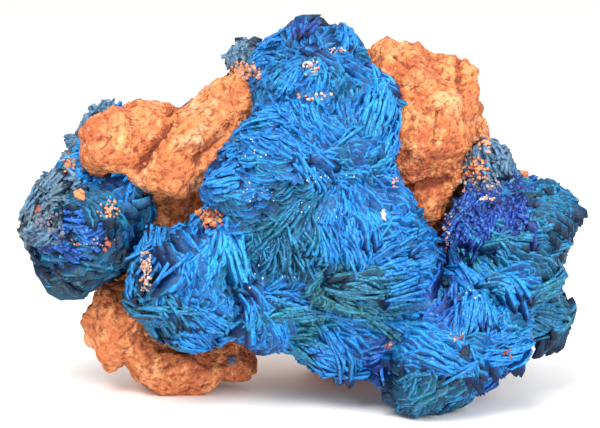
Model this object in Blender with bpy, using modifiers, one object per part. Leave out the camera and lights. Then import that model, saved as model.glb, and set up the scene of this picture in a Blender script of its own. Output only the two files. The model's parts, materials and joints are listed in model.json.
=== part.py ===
"""Azurite hand specimen: rosettes of tabular azurite crystals on lumpy orange sandstone.

All design sizes are in millimetres in the tables below and become metres when a shape is made.
X runs to the right as the specimen is shown, Y runs away from the front, Z is up. The specimen
stands on worn flats of its sandstone feet and of the lowest rosette, all at Z = 0.
"""

import math
import random
from collections import namedtuple

import bmesh
import bpy
from mathutils import Matrix, Vector

MM = 0.001

# Where the middle of the specimen's footprint lies in the design tables' own X and Y.
FOOTPRINT_CENTRE = (-0.3, 1.2)

# Gap between the azurite and the sandstone, and between neighbouring clusters.
CONTACT_GAP = 0.3

# The same at the sandstone, grown a little because creases shrink an offset.
CREASED_GAP = 0.42

# A rosette: centre, half sizes, the way its fan axis points, how many blades fan round it, seed.
Rosette = namedtuple("Rosette", "centre half_size fan_axis blades seed")

# A thick plate standing out of a rosette: the middle of its free edge, the way that edge runs,
# the way it stands out, and its length, depth and thickness.
Plate = namedtuple("Plate", "edge along outward size")

# A sandstone lump: centre, half sizes, turn about Y in degrees (positive lowers its right end).
Lump = namedtuple("Lump", "centre half_size turn")

MAIN_CLUSTER = {
    "heart": Rosette((0.5, -3.8, 21.5), (10.6, 9.6, 12.4), (0.15, -0.5, 1.0), 13, 10),
    "top": Rosette((1.5, -3.2, 37.7), (5.3, 6.2, 4.8), (0.1, -0.9, 0.3), 10, 11),
    "top_left": Rosette((-2.4, -1.6, 36.4), (3.1, 4.6, 4.0), (-0.6, -0.6, 0.5), 7, 19),
    "upper": Rosette((1.6, -6.0, 27.3), (9.4, 8.0, 7.8), (0.1, -1.0, 0.1), 15, 12),
    "right_shoulder": Rosette((6.6, -3.2, 32.3), (4.2, 6.0, 5.0), (0.5, -0.7, 0.5), 8, 24),
    "upper_left_fan": Rosette((-5.0, -5.4, 24.2), (5.4, 6.4, 5.2), (0.9, -0.4, 0.0), 9, 20),
    "lower": Rosette((5.6, -7.0, 17.0), (9.7, 8.6, 8.4), (-0.7, -0.7, 0.1), 14, 63),
    "lower_left": Rosette((-2.4, -5.0, 11.8), (6.8, 7.0, 6.0), (-0.2, -0.9, -0.3), 10, 14),
    "underside": Rosette((5.5, -4.5, 7.0), (6.6, 6.0, 3.8), (0.2, -0.6, -0.8), 8, 35),
    "centre_left": Rosette((-12.3, -5.0, 13.4), (6.6, 7.2, 6.9), (-0.1, -0.5, 0.9), 10, 16),
    "lower_right": Rosette((16.4, -7.0, 8.0), (8.2, 7.8, 5.9), (0.9, -0.3, -0.3), 11, 47),
    "foot": Rosette((14.2, -7.5, 3.5), (5.0, 5.8, 4.0), (0.8, -0.5, 0.1), 8, 18),
}

MAIN_PLATES = (
    Plate((-9.6, -12.0, 15.6), (0.25, 0.1, 0.95), (0.5, -0.9, 0.1), (8.0, 4.0, 1.2)),
    Plate((-11.8, -12.6, 14.0), (0.15, 0.1, 0.95), (0.1, -1.0, 0.0), (6.5, 4.0, 0.9)),
    Plate((-14.2, -10.9, 9.2), (0.95, 0.0, -0.2), (-0.1, -0.9, -0.5), (6.0, 4.0, 1.0)),
    Plate((15.0, -14.9, 8.4), (0.94, 0.0, -0.34), (0.0, -1.0, 0.1), (8.0, 4.0, 0.9)),
    Plate((16.6, -14.8, 6.4), (0.94, 0.0, -0.34), (0.1, -1.0, -0.2), (8.5, 4.0, 0.9)),
    Plate((22.6, -10.6, 6.8), (0.45, 0.2, 0.85), (0.7, -0.7, 0.0), (6.0, 4.0, 1.2)),
    Plate((3.6, -15.2, 12.2), (0.75, 0.1, -0.6), (-0.1, -1.0, -0.2), (8.0, 4.0, 0.9)),
    Plate((-4.0, -12.6, 20.4), (0.97, 0.0, -0.2), (-0.2, -1.0, -0.2), (6.5, 4.0, 0.8)),
    Plate((-2.8, -12.2, 29.4), (0.8, 0.0, -0.55), (-0.3, -1.0, 0.2), (7.0, 4.0, 0.8)),
    Plate((4.6, -9.2, 36.6), (0.4, 0.1, -0.9), (0.4, -0.9, 0.2), (6.0, 3.5, 0.9)),
)

LEFT_CLUSTER = {
    "left": Rosette((-23.5, -1.0, 18.8), (7.6, 8.0, 7.4), (0.5, -0.8, 0.3), 13, 21),
    "left_shoulder": Rosette((-25.9, 0.6, 22.2), (3.4, 5.0, 3.4), (-0.7, -0.5, 0.4), 7, 23),
    "left_crust": Rosette((-21.8, 3.2, 28.0), (4.4, 4.2, 4.4), (-0.6, -0.3, 0.7), 8, 22),
    "left_inner": Rosette((-18.0, 0.6, 25.0), (2.7, 3.4, 3.0), (0.2, -0.6, 0.7), 6, 25),
}

LEFT_PLATES = (
    Plate((-18.2, -7.6, 20.6), (0.25, 0.1, 0.95), (0.6, -0.8, 0.2), (7.0, 4.0, 1.0)),
    Plate((-22.6, -8.6, 20.8), (0.75, 0.0, -0.65), (0.1, -1.0, 0.2), (9.0, 4.0, 1.0)),
    Plate((-25.6, -6.6, 13.8), (0.95, -0.2, 0.2), (-0.3, -0.8, -0.6), (7.0, 4.0, 1.1)),
    Plate((-22.8, -6.0, 12.4), (0.9, -0.2, 0.3), (0.0, -0.8, -0.7), (6.0, 4.0, 1.1)),
)

RIGHT_CLUSTER = {
    "right": Rosette((22.6, -2.0, 16.7), (7.3, 8.0, 7.6), (-0.5, -0.8, 0.4), 13, 31),
    "right_corner": Rosette((26.6, -0.8, 19.8), (3.9, 5.6, 4.0), (0.7, -0.4, 0.5), 8, 34),
    "right_lobe": Rosette((26.4, -0.5, 9.8), (3.6, 5.0, 3.4), (0.4, -0.7, -0.4), 7, 32),
    "right_crust": Rosette((21.4, -0.2, 25.4), (3.2, 4.2, 3.6), (0.7, -0.4, 0.5), 7, 33),
}

RIGHT_PLATES = (
    Plate((22.0, -9.8, 15.4), (0.35, 0.0, -0.9), (0.1, -1.0, 0.1), (6.5, 4.0, 0.9)),
    Plate((23.0, -9.2, 12.2), (0.85, 0.0, -0.55), (0.0, -0.9, -0.3), (8.5, 4.0, 1.0)),
    Plate((26.8, -7.0, 15.8), (0.95, 0.2, 0.1), (0.5, -0.8, 0.1), (5.5, 4.0, 1.0)),
)

TOP_LEFT_SPRIG = {
    "sprig": Rosette((-5.5, 4.0, 37.0), (3.0, 3.4, 2.5), (-0.5, -0.3, 0.8), 7, 41),
}

BACK_UPPER = {
    "back_upper": Rosette((-9.0, 12.0, 25.0), (7.4, 5.6, 7.0), (-0.2, 0.9, 0.3), 11, 51),
    "back_upper_side": Rosette((-3.6, 12.2, 22.4), (4.4, 4.4, 4.0), (0.6, 0.7, -0.3), 8, 52),
}

BACK_LOWER = {
    "back_lower": Rosette((11.0, 12.5, 13.5), (7.8, 5.6, 7.0), (0.3, 0.9, -0.1), 11, 61),
    "back_lower_side": Rosette((17.4, 9.6, 16.8), (3.8, 4.4, 4.2), (0.8, 0.5, 0.3), 7, 62),
}

BACK_UPPER_PLATES = (
    Plate((-10.0, 17.4, 26.6), (0.8, 0.0, 0.6), (-0.1, 1.0, 0.1), (8.0, 4.0, 1.0)),
    Plate((-8.0, 17.4, 22.4), (0.9, 0.0, -0.4), (0.1, 1.0, -0.2), (6.5, 4.0, 1.0)),
)

BACK_LOWER_PLATES = (
    Plate((10.0, 17.8, 15.6), (0.7, 0.0, -0.7), (0.0, 1.0, 0.2), (8.0, 4.0, 1.0)),
    Plate((12.6, 17.6, 11.2), (0.9, 0.0, 0.3), (0.1, 1.0, -0.2), (7.0, 4.0, 1.0)),
)

SANDSTONE = {
    "upper_right_lump": Lump((13.2, 2.8, 29.4), (6.9, 8.0, 8.2), 14),
    "upper_right_top": Lump((11.4, 2.8, 35.4), (5.2, 6.4, 4.0), 24),
    "upper_right_shoulder": Lump((18.4, 4.0, 32.0), (1.9, 3.6, 2.6), -10),
    "upper_right_nose": Lump((17.0, 3.4, 35.8), (2.2, 4.0, 2.4), 20),
    "right_step": Lump((18.4, 4.8, 26.8), (3.6, 4.4, 4.8), 0),
    "right_wedge": Lump((14.2, -0.4, 21.6), (2.4, 3.4, 3.2), 10),
    "right_nub": Lump((23.4, 3.0, 23.9), (3.0, 2.4, 1.4), -12),
    "upper_left_lump": Lump((-13.0, -1.2, 27.3), (6.6, 5.4, 3.9), -40),
    "upper_left_inner": Lump((-9.0, 0.4, 25.6), (3.2, 5.0, 5.2), -16),
    "upper_left_ridge": Lump((-8.0, 2.0, 31.8), (6.0, 5.4, 2.8), -14),
    "sprig_seat": Lump((-6.6, 1.4, 34.0), (2.6, 3.0, 2.4), 0),
    "crevice_crumb": Lump((-9.8, -4.4, 20.9), (1.6, 2.6, 1.9), 0),
    "left_lump": Lump((-21.0, -1.0, 28.1), (3.9, 4.2, 3.5), -5),
    "left_back_lump": Lump((-16.9, 4.0, 30.2), (4.2, 4.2, 2.4), 8),
    "left_foot_wall": Lump((-19.8, 1.2, 8.0), (4.4, 5.2, 5.6), 20),
    "left_foot": Lump((-14.6, 1.6, 3.6), (5.6, 5.8, 3.9), 12),
    "left_foot_toe": Lump((-8.6, 2.4, 3.0), (4.6, 5.0, 2.4), -4),
    "left_arch": Lump((-9.0, 2.6, 7.4), (4.0, 4.4, 3.4), 0),
    "middle": Lump((0.0, 5.0, 18.0), (21.0, 8.0, 12.0), 0),
    "back_left": Lump((-13.0, 9.0, 14.0), (9.0, 6.5, 8.5), 0),
    "back_right": Lump((12.0, 9.0, 22.0), (10.0, 6.5, 9.0), 0),
    "back_foot": Lump((7.0, 10.0, 4.2), (7.2, 5.2, 4.8), 0),
}


# A fan of blades is a ball of this many rings; blades and valleys reach these shares of its radius,
# a valley leans towards one of the blades beside it, and each swings by up to this share of a step.
FAN_RINGS = 6
NEAR_POLE = 0.99
POLE_SHARE = 0.94
BLADE_REACH = (0.96, 1.04)
STEP_REACH = (0.94, 1.02)
VALLEY_REACH = (0.86, 0.93)
VALLEY_LEANS = (-0.55, 0.0, 0.55)
BLADE_SWING = 0.2

# A plate tapers to these shares of its length and thickness at its free edge.
EDGE_LENGTH_SHARE = 0.7
EDGE_THICKNESS_SHARE = 0.35

# The sandstone's blocks stand this much past their half size, so that their corners show, and are
# fused on a grid of voxels. Swellings and pits have a width and a height or depth in millimetres.
BLOCK_FINENESS = 1
BLOCK_REACH = 1.13
SANDSTONE_VOXEL = 0.8
LUMP_SWELLING = 3.2
SWELLING_HEIGHT = 3.0
LUMP_PIT = 2.4
PIT_DEPTH = 1.4

# The share of the weathered facets that is kept, and the angle in degrees below which crystal
# facets are joined in one.
SANDSTONE_SHARE_KEPT = 0.08
NEARLY_FLAT = 1.0

BALL_FINENESS = 3
FLOOR_BLOCK = 120.0

AZURITE_COLOUR = (0.02, 0.14, 0.50)
TEAL_AZURITE_COLOUR = (0.02, 0.10, 0.24)
SANDSTONE_COLOUR = (0.72, 0.27, 0.11)
AZURITE_ROUGHNESS = 0.45
SANDSTONE_ROUGHNESS = 0.9


def clear_scene():
    """Removes whatever the file opened with, and the startup meshes with it."""
    for old in list(bpy.data.objects):
        bpy.data.objects.remove(old, do_unlink=True)


def new_collection(name):
    made = bpy.data.collections.new(name)
    bpy.context.scene.collection.children.link(made)
    return made


def stone_material(name, colour, roughness):
    made = bpy.data.materials.new(name)
    made.use_nodes = True
    shader = made.node_tree.nodes["Principled BSDF"]
    shader.inputs["Base Color"].default_value = (*colour, 1.0)
    shader.inputs["Roughness"].default_value = roughness
    shader.inputs["Metallic"].default_value = 0.0
    made.diffuse_color = (*colour, 1.0)
    return made


def new_object(name, mesh, collection, material=None):
    made = bpy.data.objects.new(name, mesh)
    collection.objects.link(made)
    if material:
        mesh.materials.append(material)
    return made


def as_helper(obj):
    """A cutter or a guide: drawn as wire and left out of the render."""
    obj.hide_render = True
    obj.display_type = "WIRE"
    return obj


def placement(centre, half_size):
    """From a unit ball about the origin to metres in the specimen's own frame."""
    middle = Vector(centre) - Vector((*FOOTPRINT_CENTRE, 0.0))
    return Matrix.Translation(middle * MM) @ Matrix.Diagonal((*(Vector(half_size) * MM), 1.0))


def add_ball(shape, matrix, fineness):
    bmesh.ops.create_icosphere(shape, subdivisions=fineness, radius=1.0, matrix=matrix)


def add_bladed_ball(shape, matrix, rosette):
    """A fan of blades round the Z axis: a ball whose meridians stand out and lie back by turns,
    each valley drawn close under the next blade so that the blades overlap like shingles."""
    chance = random.Random(rosette.seed)
    columns = 2 * rosette.blades
    made = bmesh.ops.create_uvsphere(shape, u_segments=columns, v_segments=FAN_RINGS, radius=1.0)["verts"]
    step = math.tau / columns
    reach = [chance.uniform(*BLADE_REACH) for _ in range(rosette.blades)]
    swing = []
    for _ in range(rosette.blades):
        lean = chance.choice(VALLEY_LEANS)
        swing += [chance.uniform(-BLADE_SWING, BLADE_SWING), lean + chance.uniform(-BLADE_SWING, BLADE_SWING)]
    for vertex in made:
        column = round(math.atan2(vertex.co.y, vertex.co.x) / step) % columns
        if abs(vertex.co.z) > NEAR_POLE:
            share = POLE_SHARE
        elif column % 2:
            share = chance.uniform(*VALLEY_REACH)
        else:
            share = reach[column // 2] * chance.uniform(*STEP_REACH)
        turned = Matrix.Rotation(swing[column] * step, 3, "Z") @ vertex.co
        vertex.co = turned * share
    bmesh.ops.transform(shape, matrix=matrix, verts=made)


def add_plate(shape, plate):
    """A tabular crystal whose free edge is a chisel and whose root lies inside the rosette."""
    along = Vector(plate.along).normalized()
    outward = (Vector(plate.outward) - along * along.dot(Vector(plate.outward))).normalized()
    facing = Matrix((along, outward, along.cross(outward))).transposed().to_4x4()
    length, depth, thickness = plate.size
    made = bmesh.ops.create_cube(shape, size=1.0)["verts"]
    for vertex in made:
        at_edge = vertex.co.y > 0
        vertex.co.x *= length * (EDGE_LENGTH_SHARE if at_edge else 1.0)
        vertex.co.z *= thickness * (EDGE_THICKNESS_SHARE if at_edge else 1.0)
        vertex.co.y = (vertex.co.y - 0.5) * depth
    matrix = placement(plate.edge, (1, 1, 1)) @ facing
    bmesh.ops.transform(shape, matrix=matrix, verts=made)


def cluster_mesh(name, cluster, plates):
    """All rosettes and plates of a cluster as overlapping bodies, which the first cut fuses."""
    shape = bmesh.new()
    for rosette in cluster.values():
        fan_way = Vector(rosette.fan_axis).to_track_quat("Z", "Y").to_matrix().to_4x4()
        add_bladed_ball(shape, placement(rosette.centre, rosette.half_size) @ fan_way, rosette)
    for plate in plates:
        add_plate(shape, plate)
    mesh = bpy.data.meshes.new(name)
    shape.to_mesh(mesh)
    shape.free()
    return mesh


def add_boolean(obj, name, operation, other, self_cut=False):
    made = obj.modifiers.new(name, "BOOLEAN")
    made.operation = operation
    made.solver = "EXACT"
    made.use_self = self_cut
    made.object = other
    return made


def floor_cutter(collection):
    """A block whose top lies at Z = 0, to cut the flats that the specimen stands on."""
    bpy.ops.mesh.primitive_cube_add(size=FLOOR_BLOCK * MM, location=(0, 0, -FLOOR_BLOCK * MM / 2))
    block = bpy.context.active_object
    block.name = "floor_cutter"
    for old in list(block.users_collection):
        old.objects.unlink(block)
    collection.objects.link(block)
    return as_helper(block)


def lumps_mesh(name):
    """The sandstone lumps as overlapping blocks of twenty faces, which the Remesh modifier fuses."""
    shape = bmesh.new()
    for lump in SANDSTONE.values():
        turned = placement(lump.centre, (1, 1, 1)) @ Matrix.Rotation(math.radians(lump.turn), 4, "Y")
        half_size = Vector(lump.half_size) * BLOCK_REACH
        add_ball(shape, turned @ Matrix.Diagonal((*half_size, 1.0)), BLOCK_FINENESS)
    mesh = bpy.data.meshes.new(name)
    shape.to_mesh(mesh)
    shape.free()
    return mesh


def add_displace(obj, name, texture, strength):
    made = obj.modifiers.new(name, "DISPLACE")
    made.texture = texture
    made.texture_coords = "GLOBAL"
    made.strength = strength * MM
    made.mid_level = 0.5 if texture else 0.0


def weather(obj):
    """Fuses the lumps, gives them swellings, ledges and pits, and thins the mesh to broad facets."""
    swellings = bpy.data.textures.get("swellings") or bpy.data.textures.new("swellings", "CLOUDS")
    swellings.noise_scale = LUMP_SWELLING * MM
    swellings.noise_depth = 1
    pits = bpy.data.textures.get("pits") or bpy.data.textures.new("pits", "VORONOI")
    pits.noise_scale = LUMP_PIT * MM
    fuse = obj.modifiers.new("fuse", "REMESH")
    fuse.mode = "VOXEL"
    fuse.voxel_size = SANDSTONE_VOXEL * MM
    add_displace(obj, "swellings", swellings, SWELLING_HEIGHT)
    add_displace(obj, "pits", pits, PIT_DEPTH)
    close = obj.modifiers.new("close", "REMESH")
    close.mode = "VOXEL"
    close.voxel_size = SANDSTONE_VOXEL * MM
    thin = obj.modifiers.new("thin", "DECIMATE")
    thin.ratio = SANDSTONE_SHARE_KEPT


def build_sandstone(parts, helpers, floor):
    material = stone_material("sandstone", SANDSTONE_COLOUR, SANDSTONE_ROUGHNESS)
    stone = new_object("sandstone_matrix", lumps_mesh("sandstone_matrix"), parts, material)
    weather(stone)
    add_boolean(stone, "stand", "DIFFERENCE", floor)
    clearance = as_helper(new_object("sandstone_clearance", stone.data.copy(), helpers))
    weather(clearance)
    add_displace(clearance, "gap", None, CREASED_GAP)
    return clearance


def rosette_clearance(name, cluster, floor, collection):
    """Smooth balls a little over the crystals' reach, which keep a neighbouring cluster off."""
    shape = bmesh.new()
    for rosette in cluster.values():
        half_size = [size * BLADE_REACH[1] * STEP_REACH[1] + CONTACT_GAP for size in rosette.half_size]
        add_ball(shape, placement(rosette.centre, half_size), BALL_FINENESS)
    mesh = bpy.data.meshes.new(name)
    shape.to_mesh(mesh)
    shape.free()
    clearance = as_helper(new_object(name, mesh, collection))
    add_boolean(clearance, "join", "DIFFERENCE", floor, self_cut=True)
    return clearance


def keep_largest_body(obj):
    """Applies the modifiers and drops crumbs that a cut has left loose."""
    graph = bpy.context.evaluated_depsgraph_get()
    mesh = bpy.data.meshes.new_from_object(obj.evaluated_get(graph))
    shape = bmesh.new()
    shape.from_mesh(mesh)
    bodies = []
    unseen = set(shape.faces)
    while unseen:
        body = {unseen.pop()}
        border = list(body)
        while border:
            for edge in border.pop().edges:
                for face in edge.link_faces:
                    if face in unseen:
                        unseen.discard(face)
                        body.add(face)
                        border.append(face)
        bodies.append(body)
    largest = max(bodies, key=len)
    bmesh.ops.delete(shape, geom=[f for f in shape.faces if f not in largest], context="FACES")
    shape.to_mesh(mesh)
    shape.free()
    obj.modifiers.clear()
    obj.data = mesh


def build_cluster(name, cluster, plates, parts, cutters, material):
    """Joins a cluster's rosettes in one solid and cuts it back from what it touches."""
    crystals = new_object(name, cluster_mesh(name, cluster, plates), parts, material)
    for place, cutter in enumerate(cutters):
        add_boolean(crystals, "clear_" + cutter.name, "DIFFERENCE", cutter, self_cut=place == 0)
    thin = crystals.modifiers.new("thin", "DECIMATE")
    thin.decimate_type = "DISSOLVE"
    thin.angle_limit = math.radians(NEARLY_FLAT)
    keep_largest_body(crystals)
    return crystals


def main():
    clear_scene()
    parts = new_collection("azurite_specimen")
    helpers = new_collection("cutters")
    floor = floor_cutter(helpers)
    stone = build_sandstone(parts, helpers, floor)
    azure = stone_material("azurite", AZURITE_COLOUR, AZURITE_ROUGHNESS)
    teal = stone_material("teal_azurite", TEAL_AZURITE_COLOUR, AZURITE_ROUGHNESS)
    build_cluster("azurite_main_cluster", MAIN_CLUSTER, MAIN_PLATES, parts, [stone, floor], azure)
    beside_main = rosette_clearance("main_clearance", MAIN_CLUSTER, floor, helpers)
    outer = {
        "azurite_left_cluster": (LEFT_CLUSTER, LEFT_PLATES, teal),
        "azurite_right_cluster": (RIGHT_CLUSTER, RIGHT_PLATES, teal),
        "azurite_top_left_sprig": (TOP_LEFT_SPRIG, (), teal),
        "azurite_back_upper_rosette": (BACK_UPPER, BACK_UPPER_PLATES, azure),
        "azurite_back_lower_rosette": (BACK_LOWER, BACK_LOWER_PLATES, azure),
    }
    for name, (cluster, plates, material) in outer.items():
        build_cluster(name, cluster, plates, parts, [stone, beside_main], material)


main()
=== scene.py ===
"""Dresses the azurite specimen: thin azurite blades grown over its rosettes, weathered sandstone,
loose crumbs and specks, some specks painting glints, and the stage.

The tables are in millimetres in the design's own axes, which FOOTPRINT_CENTRE brings to the frame's.
A place seen from the front is (x, z) in millimetres on the plane that the camera faces."""

import json
import math
from collections import namedtuple

import bpy
import numpy as np
from mathutils import Matrix, Vector, noise
from mathutils.bvhtree import BVHTree

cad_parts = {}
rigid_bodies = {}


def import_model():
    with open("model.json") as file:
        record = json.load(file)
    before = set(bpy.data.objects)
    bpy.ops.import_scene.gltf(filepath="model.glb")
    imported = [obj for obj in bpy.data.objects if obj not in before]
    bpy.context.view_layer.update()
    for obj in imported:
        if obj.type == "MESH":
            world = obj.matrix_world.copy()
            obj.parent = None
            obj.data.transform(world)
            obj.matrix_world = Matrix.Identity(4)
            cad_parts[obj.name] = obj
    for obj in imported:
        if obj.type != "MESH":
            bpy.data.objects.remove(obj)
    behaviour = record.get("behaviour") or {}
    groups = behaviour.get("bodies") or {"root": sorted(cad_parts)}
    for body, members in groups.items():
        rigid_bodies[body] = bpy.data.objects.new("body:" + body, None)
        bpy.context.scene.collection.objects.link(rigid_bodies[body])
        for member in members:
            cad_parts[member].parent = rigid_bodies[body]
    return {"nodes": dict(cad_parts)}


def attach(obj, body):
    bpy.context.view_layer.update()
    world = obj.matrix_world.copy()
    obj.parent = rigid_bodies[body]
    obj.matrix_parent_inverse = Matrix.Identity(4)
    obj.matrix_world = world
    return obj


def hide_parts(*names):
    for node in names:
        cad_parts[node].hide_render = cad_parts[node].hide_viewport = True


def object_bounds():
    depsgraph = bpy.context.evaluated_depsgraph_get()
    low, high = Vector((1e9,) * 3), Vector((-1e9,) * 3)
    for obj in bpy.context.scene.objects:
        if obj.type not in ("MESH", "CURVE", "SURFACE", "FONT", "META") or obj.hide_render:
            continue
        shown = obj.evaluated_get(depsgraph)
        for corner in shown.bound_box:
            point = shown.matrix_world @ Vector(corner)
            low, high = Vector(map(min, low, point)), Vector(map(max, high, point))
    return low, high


bl_info = {
    "name": "Azurite specimen",
    "version": (1, 0, 0),
    "blender": (4, 5, 0),
    "location": "View3D > Sidebar > Azurite",
    "description": "Grows azurite blades over a packed specimen and weathers its sandstone",
    "category": "Object",
}

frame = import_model()
CAD_BOX = [list(corner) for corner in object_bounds()]

MM = 0.001
FOOTPRINT_CENTRE = np.array((-0.3, 1.2, 0.0))

# The camera of the photograph: its height above the horizon, its distance and where it looks.
CAMERA_ELEVATION = math.radians(10.0)
CAMERA_DISTANCE = 277.8
CAMERA_AIM = np.array((0.0, 0.0, 20.4)) - FOOTPRINT_CENTRE
CAMERA_LENS = 150.0
TO_CAMERA = np.array((0.0, -math.cos(CAMERA_ELEVATION), math.sin(CAMERA_ELEVATION)))
CAMERA_UP = np.array((0.0, math.sin(CAMERA_ELEVATION), math.cos(CAMERA_ELEVATION)))
CAMERA_RIGHT = np.array((1.0, 0.0, 0.0))
FRONT_MIDDLE_HEIGHT = 20.1

# A rosette: centre and half sizes, and the axis that its blades fan round.
Rosette = namedtuple("Rosette", "centre half_size fan_axis")

# Flats on a rosette: the way each faces, and its distance from the middle as a share of the radius.
FLATS = {
    "left": (((-0.82, 0.0, 0.58), 0.78), ((0.1, -0.35, 0.93), 0.64), ((0.70, -0.70, 0.15), 0.66),
             ((-0.35, -0.75, -0.55), 0.74), ((-0.1, -0.98, 0.15), 0.74), ((-0.85, -0.3, -0.45), 0.82),
             ((0.9, -0.1, -0.42), 0.70), ((0.35, -0.3, -0.87), 0.80)),
    "right": (((0.15, -0.3, 0.95), 0.84), ((0.98, -0.1, -0.15), 0.86), ((-0.55, -0.8, 0.1), 0.86),
              ((0.45, -0.85, 0.2), 0.86)),
    "right_lobe": (((0.9, -0.3, 0.2), 0.8),),
    "right_crust": (((0.5, -0.3, 0.8), 0.62), ((-0.5, -0.8, 0.3), 0.7), ((0.3, -0.95, 0.1), 0.7)),
    "left_crust": (((-0.7, -0.3, 0.6), 0.66), ((0.0, -0.9, 0.4), 0.7)),
    "sprig": (((0.2, -0.5, 0.85), 0.66), ((-0.8, -0.5, 0.3), 0.7)),
    "centre_left": (((0.62, -0.75, 0.1), 0.72), ((-0.7, -0.7, 0.1), 0.78), ((0.0, -0.45, 0.89), 0.80),
                    ((0.0, -0.85, -0.5), 0.80)),
    "lower_right": (((0.35, -0.9, 0.25), 0.82), ((-0.45, -0.8, 0.4), 0.84), ((0.5, -0.6, -0.62), 0.86)),
    "top": (((0.0, -0.95, 0.3), 0.84), ((-0.75, -0.6, 0.3), 0.86), ((0.8, -0.55, 0.1), 0.86)),
    "upper": (((-0.35, -0.85, 0.4), 0.86), ((0.5, -0.8, 0.3), 0.86), ((0.0, -0.95, -0.2), 0.84)),
    "lower": (((-0.5, -0.8, -0.3), 0.84), ((0.55, -0.8, 0.1), 0.86), ((0.1, -0.7, -0.7), 0.86)),
}

# A fan of lines: its middle and the point that its lines run from, both seen from the front, how
# far its blades lean over in degrees, how coarse they are, and their tint.
Fan = namedtuple("Fan", "middle focus lean coarseness tint", defaults=(1.0, "azure"))

MAIN_CLUSTER = {
    "heart": Rosette((0.5, -3.8, 21.5), (10.6, 9.6, 12.4), (0.15, -0.5, 1.0)),
    "top": Rosette((1.5, -3.2, 37.7), (5.3, 6.2, 4.8), (0.1, -0.9, 0.3)),
    "top_left": Rosette((-2.4, -1.6, 36.4), (3.1, 4.6, 4.0), (-0.6, -0.6, 0.5)),
    "upper": Rosette((1.6, -6.0, 27.3), (9.4, 8.0, 7.8), (0.1, -1.0, 0.1)),
    "right_shoulder": Rosette((6.6, -3.2, 32.3), (4.2, 6.0, 5.0), (0.5, -0.7, 0.5)),
    "upper_left_fan": Rosette((-5.0, -5.4, 24.2), (5.4, 6.4, 5.2), (0.9, -0.4, 0.0)),
    "lower": Rosette((5.6, -7.0, 17.0), (9.7, 8.6, 8.4), (-0.7, -0.7, 0.1)),
    "lower_left": Rosette((-2.4, -5.0, 11.8), (6.8, 7.0, 6.0), (-0.2, -0.9, -0.3)),
    "underside": Rosette((5.5, -4.5, 7.0), (6.6, 6.0, 3.8), (0.2, -0.6, -0.8)),
    "centre_left": Rosette((-12.3, -5.0, 13.4), (6.6, 7.2, 6.9), (-0.1, -0.5, 0.9)),
    "lower_right": Rosette((16.4, -7.0, 8.0), (8.2, 7.8, 5.9), (0.9, -0.3, -0.3)),
    "foot": Rosette((14.2, -7.5, 3.5), (5.0, 5.8, 4.0), (0.8, -0.5, 0.1)),
}

LEFT_CLUSTER = {
    "left": Rosette((-23.5, -1.0, 18.8), (7.6, 8.0, 7.4), (0.5, -0.8, 0.3)),
    "left_shoulder": Rosette((-25.9, 0.6, 22.2), (3.4, 5.0, 3.4), (-0.7, -0.5, 0.4)),
    "left_crust": Rosette((-21.8, 3.2, 28.0), (4.4, 4.2, 4.4), (-0.6, -0.3, 0.7)),
    "left_inner": Rosette((-18.0, 0.6, 25.0), (2.7, 3.4, 3.0), (0.2, -0.6, 0.7)),
}

RIGHT_CLUSTER = {
    "right": Rosette((22.6, -2.0, 16.7), (7.3, 8.0, 7.6), (-0.5, -0.8, 0.4)),
    "right_corner": Rosette((26.6, -0.8, 19.8), (3.9, 5.6, 4.0), (0.7, -0.4, 0.5)),
    "right_lobe": Rosette((26.4, -0.5, 9.8), (3.6, 5.0, 3.4), (0.4, -0.7, -0.4)),
    "right_crust": Rosette((21.4, -0.2, 25.4), (3.2, 4.2, 3.6), (0.7, -0.4, 0.5)),
}

TOP_LEFT_SPRIG = {
    "sprig": Rosette((-5.5, 4.0, 37.0), (3.0, 3.4, 2.5), (-0.5, -0.3, 0.8)),
}

BACK_UPPER = {
    "back_upper": Rosette((-9.0, 12.0, 25.0), (7.4, 5.6, 7.0), (-0.2, 0.9, 0.3)),
    "back_upper_side": Rosette((-3.6, 12.2, 22.4), (4.4, 4.4, 4.0), (0.6, 0.7, -0.3)),
}

BACK_LOWER = {
    "back_lower": Rosette((11.0, 12.5, 13.5), (7.8, 5.6, 7.0), (0.3, 0.9, -0.1)),
    "back_lower_side": Rosette((17.4, 9.6, 16.8), (3.8, 4.4, 4.2), (0.8, 0.5, 0.3)),
}

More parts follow.
